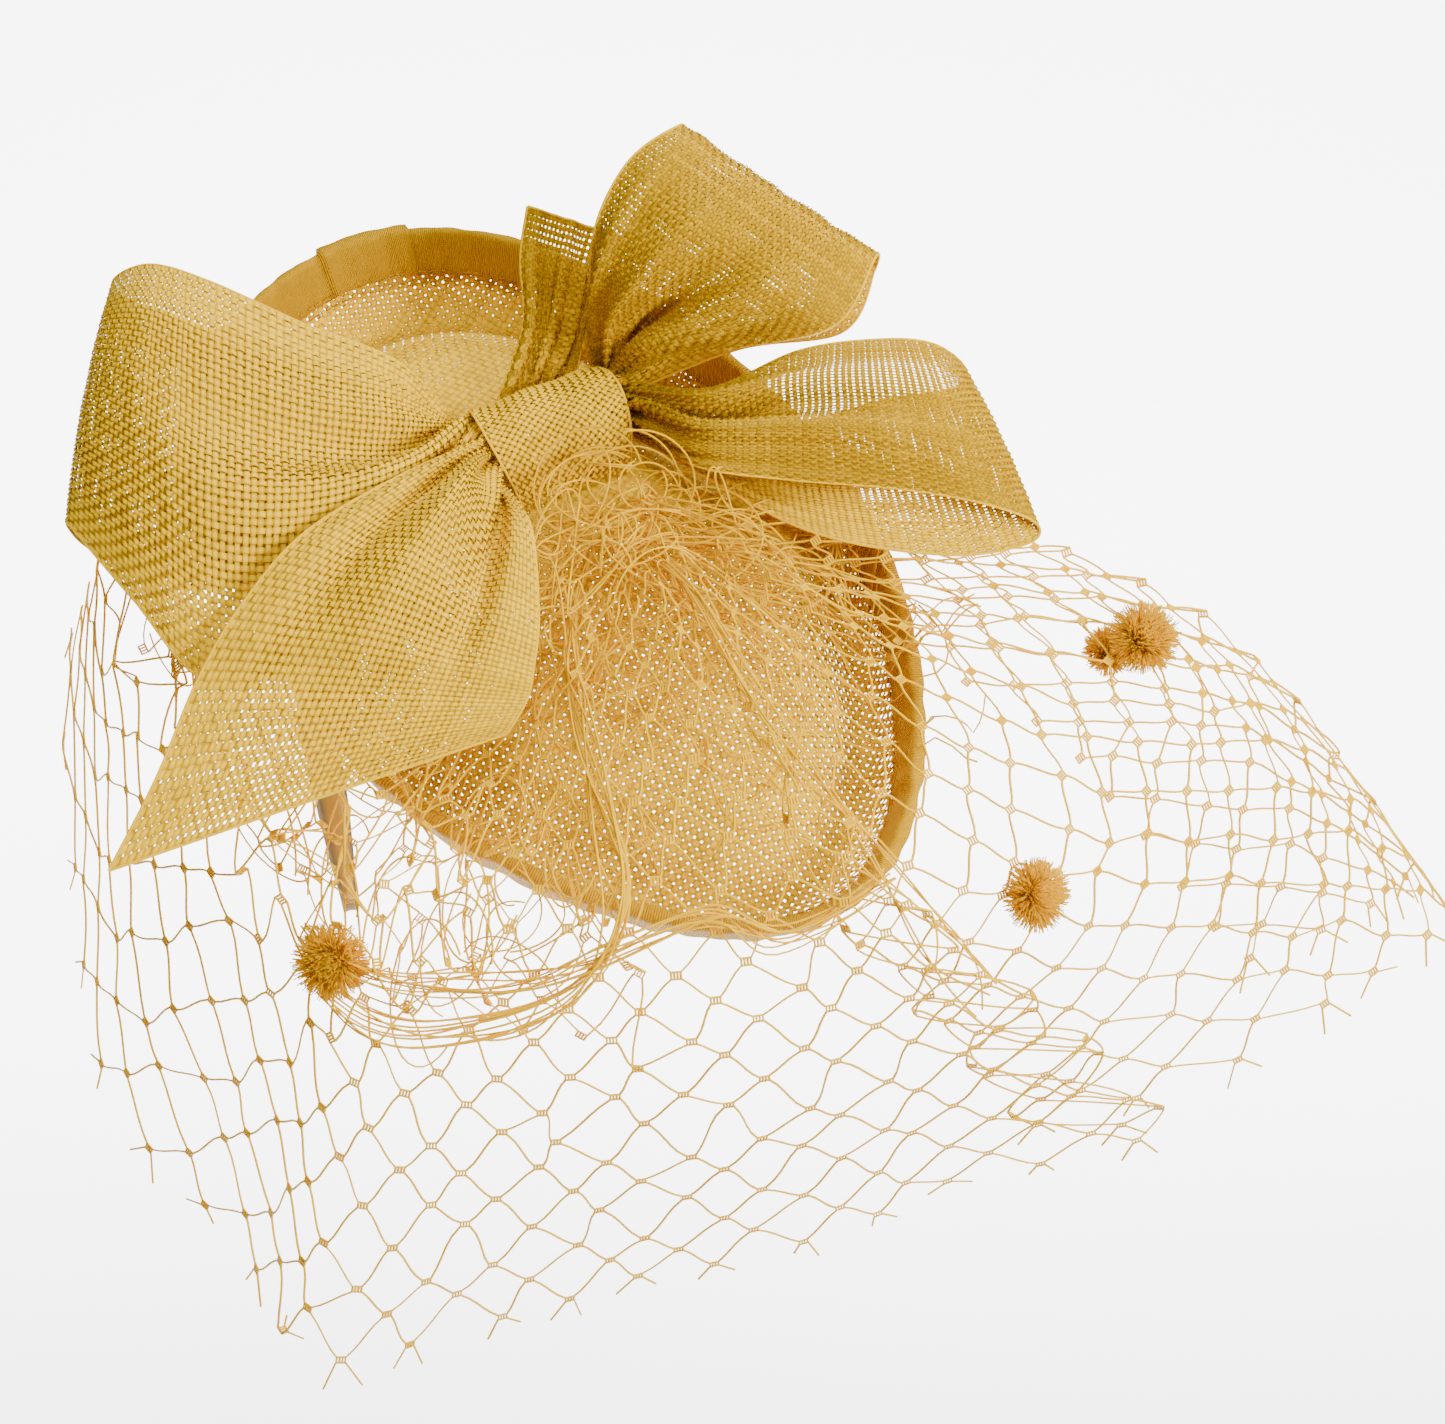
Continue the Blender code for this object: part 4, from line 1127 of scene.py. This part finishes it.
def crushed_lines(layer, count, steps):
    """The same net where it is crushed: unbroken strands both ways over a crumpled layer."""
    surface = crumpled_surface(layer)
    draw = np.random.default_rng(60 + layer.seed)
    lines = []
    for slope in CRUSH_SLOPES:
        start = (np.arange(count) + 0.5 + draw.normal(0, CRUSH_UNEVEN, count)) / count
        start = np.clip(start, 0.02, 0.98)
        down = np.linspace(0.02, 1, steps)[None]
        room = np.clip(4 * start * (1 - start), 0, 1)[:, None]
        place = start[:, None] + slope * room * (down - 0.5)
        speed = draw.uniform(*CRUSH_SPEEDS, (count, 1))
        place = place + CRUSH_SWAY * np.sin(down * speed + start[:, None] * 40)
        lines.append(surface(place, np.broadcast_to(down, place.shape)))
    return lines


def strand_draws(seed, count):
    """A function that draws a number between two limits for each of so many strands."""
    draw = np.random.default_rng(seed)
    return lambda limits: draw.uniform(*limits, (count, 1))


ANY_PHASE = (0, 6.28)
LOOP_OUT = (0.002, 0.060)
LOOP_HEADINGS = (222, 345)
LOOP_SIZES = (0.006, 0.016)
LOOP_SHRINK = (0, 0.45)
LOOP_TURNS = (2.2, 5.6)
LOOP_TILTS = (-60, 60)
LOOP_RISES = (0.001, 0.018)
LOOP_GAP = 0.002


def loop_lines(count, steps, seed):
    """Loose loops of strand standing in the gather, as polylines."""
    draw = strand_draws(seed, count)
    t = np.linspace(0, 1, steps)[None]
    out = draw(LOOP_OUT)
    centre = polar(draw(LOOP_HEADINGS)) * out[..., None]
    size = draw(LOOP_SIZES) * (1 - draw(LOOP_SHRINK) * t)
    turn = draw(ANY_PHASE) + draw(LOOP_TURNS) * t
    facing = draw((0, 360))
    tilt = np.radians(draw(LOOP_TILTS))[..., None]
    one = polar(facing)
    two = polar(facing + 90) * np.cos(tilt) + np.array((0, 0, 1)) * np.sin(tilt)
    ring = (one * np.cos(turn)[..., None] + two * np.sin(turn)[..., None]) * size[..., None]
    points = centre + ring + np.array((VEIL_X, VEIL_Y, 0))
    low = ring[..., 2].min(axis=1, keepdims=True)
    rise = draw(LOOP_RISES) * np.clip(1 - out / 0.07, 0.1, 1)
    points[..., 2] = ground_under(points) + LOOP_GAP + rise + ring[..., 2] - low
    return points


LEFT_LAYER = ((0.03, 0.50), (0.43, 0.68))
LEFT_SWIRL = 0.011
LEFT_SWAY = 0.018
LEFT_OFF = 0.004
LEFT_INSIDE = 0.007


def left_layer(place, down):
    """A second, looser layer of the net, lying inside the left and front of the veil."""
    (start, end), (top, low) = LEFT_LAYER
    where = start + (end - start) * place
    deep = top + (low - top) * down
    sway = np.sin(place * 41 + down * 5) + np.sin(place * 23 - down * 9 + 2)
    swirl = np.sin(place * 33 - down * 7 + 1) + np.sin(place * 17 + down * 11)
    points = veil_surface(np.clip(where + LEFT_SWIRL * swirl, 0, 1), deep + LEFT_SWAY * sway)
    return points + outward(points) * (LEFT_OFF * sway * swirl - LEFT_INSIDE)[..., None]


HANG_PLACES = (0.05, 0.46)
HANG_DOWN = (0.46, 0.66)
HANG_SIZES = (0.008, 0.020)
HANG_TURNS = (2.0, 5.0)
HANG_OFF = (-0.006, 0.004)
HANG_WAVE = 0.003
HANG_STRETCH = (2, 5)


def hanging_loops(count, steps, seed):
    """Slack loops of strand lying on the left and front of the veil, as polylines."""
    draw = strand_draws(seed, count)
    t = np.linspace(0, 1, steps)[None]
    place, down, size = draw(HANG_PLACES), draw(HANG_DOWN), draw(HANG_SIZES)
    turn = draw(ANY_PHASE) + draw(HANG_TURNS) * t
    where = np.clip(place + size * np.cos(turn) * 1.8, 0, 1)
    points = veil_surface(where, down + size * np.sin(turn) * draw(HANG_STRETCH))
    off = draw(HANG_OFF) + HANG_WAVE * np.sin(turn * 1.5)
    return points + outward(points) * off[..., None]


# %% [markdown]
# ## Drawn bundles
#
# Where the net folds on itself, many strands lie together and read as one thick line. One of these
# runs along the fold from the first dot to the right. Two more fall from the gather over the brim.
# Each is a few strands that follow one route over the veil's surface and cross on the way.

# %% Bundles
Bundle = namedtuple("Bundle", "route strands spread seed")
BUNDLES = (
    Bundle(((0.27, 0.66), (0.30, 0.65), (0.38, 0.62), (0.44, 0.60), (0.48, 0.58), (0.54, 0.55),
            (0.58, 0.58), (0.65, 0.56)), 9, 0.010, 1),
    Bundle(((0.36, 0.08), (0.40, 0.20), (0.45, 0.33), (0.48, 0.45), (0.49, 0.54), (0.46, 0.62),
            (0.38, 0.67), (0.30, 0.68)), 9, 0.014, 2),
    Bundle(((0.60, 0.08), (0.62, 0.20), (0.63, 0.34), (0.64, 0.47), (0.66, 0.60), (0.68, 0.72)),
           5, 0.016, 3),
)
BUNDLE_STEPS = 56
BUNDLE_SPEEDS = (4, 10)
BUNDLE_OFF = (0, 0.004)
BUNDLE_GAP = 0.001


def bundle_lines(bundle):
    """The strands of a bundle as polylines."""
    draw = strand_draws(bundle.seed, bundle.strands)
    t = np.linspace(0, 1, BUNDLE_STEPS)
    route = through(bundle.route, t)
    speed, phase = draw(BUNDLE_SPEEDS), draw(ANY_PHASE)
    sway = np.sin(t[None] * speed + phase) + 0.5 * np.sin(t[None] * speed * 2.3 + phase * 2)
    place = route[None, :, 0] + bundle.spread * sway * 0.5
    down = route[None, :, 1] + bundle.spread * np.cos(t[None] * speed * 1.3 + phase) * 0.9
    off = draw(BUNDLE_OFF) + BUNDLE_GAP
    points = veil_surface(np.clip(place, 0, 1), down)
    return points + outward(points) * off[..., None]


# %% [markdown]
# ## Strands by Geometry Nodes
#
# A node group turns bare edges into tubes. Its named inputs are the strand's radius, how many sides
# it has and its material. The modifier is set, evaluated once and converted to a plain mesh, so the
# piece keeps no live modifier.

# %% Tube group
def new_group(name, inputs):
    """A node group with a mesh in and out and named inputs: the group and its two ends."""
    group = bpy.data.node_groups.new(name, "GeometryNodeTree")
    for label, kind in (("Geometry", "Geometry"), *inputs, ("Material", "Material")):
        group.interface.new_socket(label, in_out="INPUT", socket_type="NodeSocket" + kind)
    group.interface.new_socket("Geometry", in_out="OUTPUT", socket_type="NodeSocketGeometry")
    return group, group.nodes.new("NodeGroupInput"), group.nodes.new("NodeGroupOutput")


def dressed_ending(group, start, finish, last, output):
    """End a group: make the instances real, then set the material that was put in."""
    real = group.nodes.new("GeometryNodeRealizeInstances")
    dress = group.nodes.new("GeometryNodeSetMaterial")
    wire(
        group,
        (last, output, real, "Geometry"),
        (real, "Geometry", dress, "Geometry"),
        (start, "Material", dress, "Material"),
        (dress, "Geometry", finish, "Geometry"))


def tube_group():
    """Node group: mesh edges to round strands."""
    group, start, finish = new_group("strand_tubes", (("Radius", "Float"), ("Sides", "Int")))
    to_curve = group.nodes.new("GeometryNodeMeshToCurve")
    ring = group.nodes.new("GeometryNodeCurvePrimitiveCircle")
    tube = group.nodes.new("GeometryNodeCurveToMesh")
    wire(
        group,
        (start, "Geometry", to_curve, "Mesh"),
        (start, "Radius", ring, "Radius"),
        (start, "Sides", ring, "Resolution"),
        (to_curve, "Curve", tube, "Curve"),
        (ring, "Curve", tube, "Profile Curve"))
    dressed_ending(group, start, finish, tube, "Mesh")
    return group


TUBES = tube_group()


def converted(name, source, group, inputs):
    """Run a node group over a mesh once and keep the plain mesh as a piece."""
    holder = placed(name + "_lines", source)
    modifier = holder.modifiers.new("nodes", "NODES")
    modifier.node_group = group
    for item in group.interface.items_tree:
        if item.in_out == "INPUT" and item.name in inputs:
            modifier[item.identifier] = inputs[item.name]
    depsgraph = bpy.context.evaluated_depsgraph_get()
    depsgraph.update()
    mesh = bpy.data.meshes.new_from_object(holder.evaluated_get(depsgraph))
    mesh.name = name
    bpy.data.objects.remove(holder)
    return riding_piece(name, mesh)


def line_mesh(name, lines, seed):
    """A mesh of bare edges from lots of polylines in the hat's frame."""
    points = np.concatenate([line.reshape(-1, 3) for line in lines])
    edges, start = [], 0
    for line in lines:
        count, steps = line.shape[:2]
        index = start + np.arange(count * steps).reshape(count, steps)
        edges.append(np.stack([index[:, :-1], index[:, 1:]], axis=-1).reshape(-1, 2))
        start += count * steps
    mesh = bpy.data.meshes.new(name)
    mesh.from_pydata((points @ LEAN.T).tolist(), np.concatenate(edges).tolist(), [])
    draw = np.random.default_rng(seed)
    shades = [np.repeat(draw.random(line.shape[0]), line.shape[1]) for line in lines]
    add_tones(mesh, np.concatenate(shades))
    return mesh


def net_piece(name, lines, seed, radius):
    """A piece of netting that stands for the veil's coarse net."""
    piece = converted(
        name, line_mesh(name, lines, seed), TUBES,
        {"Radius": radius, "Sides": 4, "Material": NET})
    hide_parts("veil_net")
    print(name, len(piece.data.polygons), "faces")
    return piece


# %% [markdown]
# All the lines are now made round: the net itself, the gather with its loose strands, and the
# bundles. Each of the three stands for the CAD's coarse net.

# %% Net, gather and bundles
net_piece(
    "veil_netting", net_lines(net_surface, NET_COLUMNS, NET_ROWS, VEIL_HEADING_SHARE, seed=7),
    seed=70, radius=0.00030)
gather = []
for layer in CRUMPLES:
    gather += crushed_lines(layer, count=11, steps=60)
gather.append(loop_lines(count=90, steps=30, seed=90))
gather.append(hanging_loops(count=36, steps=26, seed=91))
gather += net_lines(
    left_layer, columns=15, rows=4, first_down=0.0, seed=92, uneven=0.15, curl=0.15,
    cut_ends=False)
net_piece("veil_gather", gather, seed=71, radius=0.00026)
net_piece(
    "veil_bundles", [bundle_lines(bundle) for bundle in BUNDLES], seed=72, radius=0.00028)

# %% [markdown]
# ## Running stitch
#
# The binding is sewn on by machine, with one row of stitches on the ribbon just above its hem and a
# second on the cloth just below it. Short lines at even steps round the rim are enough, made round
# by the same node group as the strands.

# %% Stitches
STITCH = 0.0036
STITCH_SHARE = 0.45
STITCH_RADIUS = 0.00022
STITCH_LIFT = 0.0004
# how far up from the hem each row lies, and how far off the brim as a share of OUT
STITCH_ROWS = ((0.0014, 1.12), (-0.0022, 0.45))
perimeter = np.linalg.norm(np.diff(rim_hem, axis=0), axis=1).sum()
stitch_count = int(perimeter / STITCH)
stitch_at = np.linspace(0, len(rim_turn) - 2, stitch_count).astype(int)
stitch_rows = []
for up, out_share in STITCH_ROWS:
    row = rim_hem + rim_up * up + rim_inward * (OUT * out_share + STITCH_LIFT)
    stitch_start = row[stitch_at]
    stitch_way = unit(row[stitch_at + 1] - stitch_start) * STITCH * STITCH_SHARE
    stitch_rows.append(np.stack([stitch_start, stitch_start + stitch_way], axis=1))
stitch_piece = converted(
    "rim_stitches", line_mesh("stitches", stitch_rows, 73), TUBES,
    {"Radius": STITCH_RADIUS, "Sides": 5, "Material": THREAD})
print(len(stitch_piece.data.polygons), "faces in", stitch_count, "stitches a row")

# %% [markdown]
# ## Chenille dots
#
# A chenille dot is a tuft of short pile tied tight on the net. A node group scatters fine cones
# over a small flattened ball and points them outwards, with named inputs for how many there are,
# how long they are and the seed, so every dot can differ.

# %% Tuft group
PILE_TIP = 0.00014
PILE_ROOT = 0.00010
PILE_LEAN = 0.4
PILE_SIZES = (0.5, 1.1)


def tuft_group():
    """Node group: pile over a core."""
    group, start, finish = new_group(
        "chenille_tuft", (("Density", "Float"), ("Length", "Float"), ("Seed", "Int")))
    node = group.nodes.new
    scatter = node("GeometryNodeDistributePointsOnFaces")
    fibre = preset(
        node("GeometryNodeMeshCone"), Vertices=3, Side_Segments=1, Radius_Top=PILE_TIP,
        Radius_Bottom=PILE_ROOT)
    place = node("GeometryNodeInstanceOnPoints")
    lean = node("FunctionNodeRandomValue")
    lean.data_type = "FLOAT_VECTOR"
    lean.inputs[0].default_value = (-PILE_LEAN, -PILE_LEAN, -3.1)
    lean.inputs[1].default_value = (PILE_LEAN, PILE_LEAN, 3.1)
    turn = node("FunctionNodeRotateRotation")
    turn.rotation_space = "LOCAL"
    size = node("FunctionNodeRandomValue")
    size.inputs[2].default_value, size.inputs[3].default_value = PILE_SIZES
    both = node("GeometryNodeJoinGeometry")
    wire(
        group,
        (start, "Geometry", scatter, "Mesh"),
        (start, "Density", scatter, "Density"),
        (start, "Seed", scatter, "Seed"),
        (start, "Length", fibre, "Depth"),
        (scatter, "Points", place, "Points"),
        (fibre, "Mesh", place, "Instance"),
        (scatter, "Rotation", turn, "Rotation"),
        (lean, "Value", turn, "Rotate By"),
        (turn, "Rotation", place, "Rotation"),
        (size, 1, place, "Scale"),
        (start, "Seed", lean, "Seed"),
        (start, "Seed", size, "Seed"),
        (place, "Instances", both, "Geometry"),
        (start, "Geometry", both, "Geometry"))
    dressed_ending(group, start, finish, both, "Geometry")
    return group


TUFT = tuft_group()

# %% [markdown]
# Each dot sits on a strand of the net. Its core is a flattened ball with a dimple in the middle,
# where the thread that ties it pulls the pile in.

# %% Dots
DOT_OFF = 0.0005
DOT_OFF_BELOW = 0.0024


def dot_seat(column, half_row, to_column, to_half_row, share, side):
    """Where a dot sits on the coarse net's surface, and the normal there."""
    def at(c, h):
        deep = VEIL_HEADING_SHARE + (1 - VEIL_HEADING_SHARE) * h / (2 * VEIL_ROWS)
        return veil_surface(np.array([c / VEIL_COLUMNS]), np.array([deep]))[0]
    start, end = at(column, half_row), at(to_column, to_half_row)
    beside = at(to_column, half_row * 2 - to_half_row)
    normal = unit(np.cross(end - start, beside - start))
    if normal[2] * side < 0:
        normal = -normal
    off = DOT_THICKNESS / 2 + (DOT_OFF if side > 0 else DOT_OFF_BELOW)
    return start * (1 - share) + end * share + normal * off, normal


CORE_SHARE = 0.48
CORE_MIDDLE = 0.25
CORE_EDGE = 3.0
PILE_DENSITY = 30000000.0
PILE_LENGTH = 0.0053
for number, dot in enumerate(DOTS, 1):
    seat, normal = dot_seat(*dot)
    core = bmesh.new()
    bmesh.ops.create_icosphere(core, subdivisions=3, radius=0.5)
    width, thick = DOT_WIDTH * CORE_SHARE * DOT_SIZES[number - 1], DOT_THICKNESS * CORE_SHARE
    for vert in core.verts:
        dimple = CORE_MIDDLE + CORE_EDGE * (vert.co.x ** 2 + vert.co.y ** 2)
        vert.co = Vector((vert.co.x * width, vert.co.y * width, vert.co.z * thick * dimple))
    turn = Vector((0, 0, 1)).rotation_difference(Vector(LEAN @ normal)).to_matrix().to_4x4()
    core.transform(Matrix.Translation(Vector(LEAN @ seat)) @ turn)
    core_mesh = bpy.data.meshes.new("dot_core")
    core.to_mesh(core_mesh)
    core.free()
    dot_piece = converted(
        f"dot_{number}_pile", core_mesh, TUFT,
        {"Density": PILE_DENSITY, "Length": PILE_LENGTH * DOT_SIZES[number - 1],
         "Seed": number, "Material": PILE})
    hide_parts(f"chenille_dot_{number}")
    print("dot", number, len(dot_piece.data.polygons), "faces")

# %% [markdown]
# ## The hair clip
#
# Only the tip of the clip shows under the brim. The CAD blade has the right form, so it only needs
# a metal that looks drawn: a warm steel whose roughness varies in a fine noise over the blade.

# %% Clip
clip_metal, clip_nodes, clip_shader = new_material(
    "clip_metal", Base_Color=(0.78, 0.62, 0.42, 1), Metallic=0.85)
clip_place = clip_nodes.new("ShaderNodeTexCoord")
clip_noise = preset(clip_nodes.new("ShaderNodeTexNoise"), Scale=300.0)
clip_range = preset(clip_nodes.new("ShaderNodeMapRange"), To_Min=0.28, To_Max=0.5)
wire(
    clip_metal.node_tree,
    (clip_place, "Object", clip_noise, "Vector"),
    (clip_noise, "Fac", clip_range, "Value"),
    (clip_range, "Result", clip_shader, "Roughness"))
clip_shape = bmesh.new()
clip_shape.from_mesh(frame["nodes"]["hair_clip"].data)
bmesh.ops.remove_doubles(clip_shape, verts=clip_shape.verts, dist=1e-6)
clip_mesh = bpy.data.meshes.new("clip_blade")
clip_shape.to_mesh(clip_mesh)
clip_shape.free()
clip_mesh.materials.clear()
clip_mesh.materials.append(clip_metal)
clip_piece = riding_piece("clip_blade", clip_mesh)
clip_mesh.set_sharp_from_angle(angle=math.radians(50))
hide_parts("hair_clip")
print("clip", len(clip_mesh.polygons), "faces")

# %% [markdown]
# ## Floor and light
#
# The photo is cut out on white, lit softly from the front and above. A pale floor lies far below,
# where it catches the shadow out of sight, and the world gives an even fill. Three area lamps shape
# the folds, and a fourth brightens the floor behind the hat.

# %% Stage
FLOOR_Z = -0.5
FLOOR_HALF = 6.0
floor_mesh = bpy.data.meshes.new("floor")
floor_mesh.from_pydata(
    [(x * FLOOR_HALF, y * FLOOR_HALF, FLOOR_Z) for x, y in ((-1, -1), (1, -1), (1, 1), (-1, 1))],
    [], [(0, 1, 2, 3)])
floor_mesh.materials.append(
    new_material("floor_paint", Base_Color=(0.9, 0.9, 0.9, 1), Roughness=0.9)[0])
floor = placed("floor", floor_mesh)

WORLD_LIGHT = 0.15
world = bpy.data.worlds.new("studio")
world.use_nodes = True
preset(world.node_tree.nodes["Background"], Color=(1, 1, 1, 1), Strength=WORLD_LIGHT)
bpy.context.scene.world = world


def lamp(name, place, aim, size, power):
    """A square area lamp pointed at a place."""
    data = bpy.data.lights.new(name, "AREA")
    data.size = size
    data.energy = power
    made = placed(name, data)
    made.location = place
    made.rotation_euler = (Vector(aim) - Vector(place)).to_track_quat("-Z", "Y").to_euler()


lamp("key", (0.15, -0.6, 1.0), (0, 0, 0), 0.35, 10)
lamp("fill", (0.55, -0.55, 0.3), (0.06, 0.03, 0.09), 0.25, 10)
lamp("top", (0.15, 0.4, 0.9), (0.04, 0.05, 0.05), 0.3, 9)
lamp("floor_wash", (0, 1.7, -0.15), (0, 1.7, -0.5), 3.0, 250)
print("lamps set")
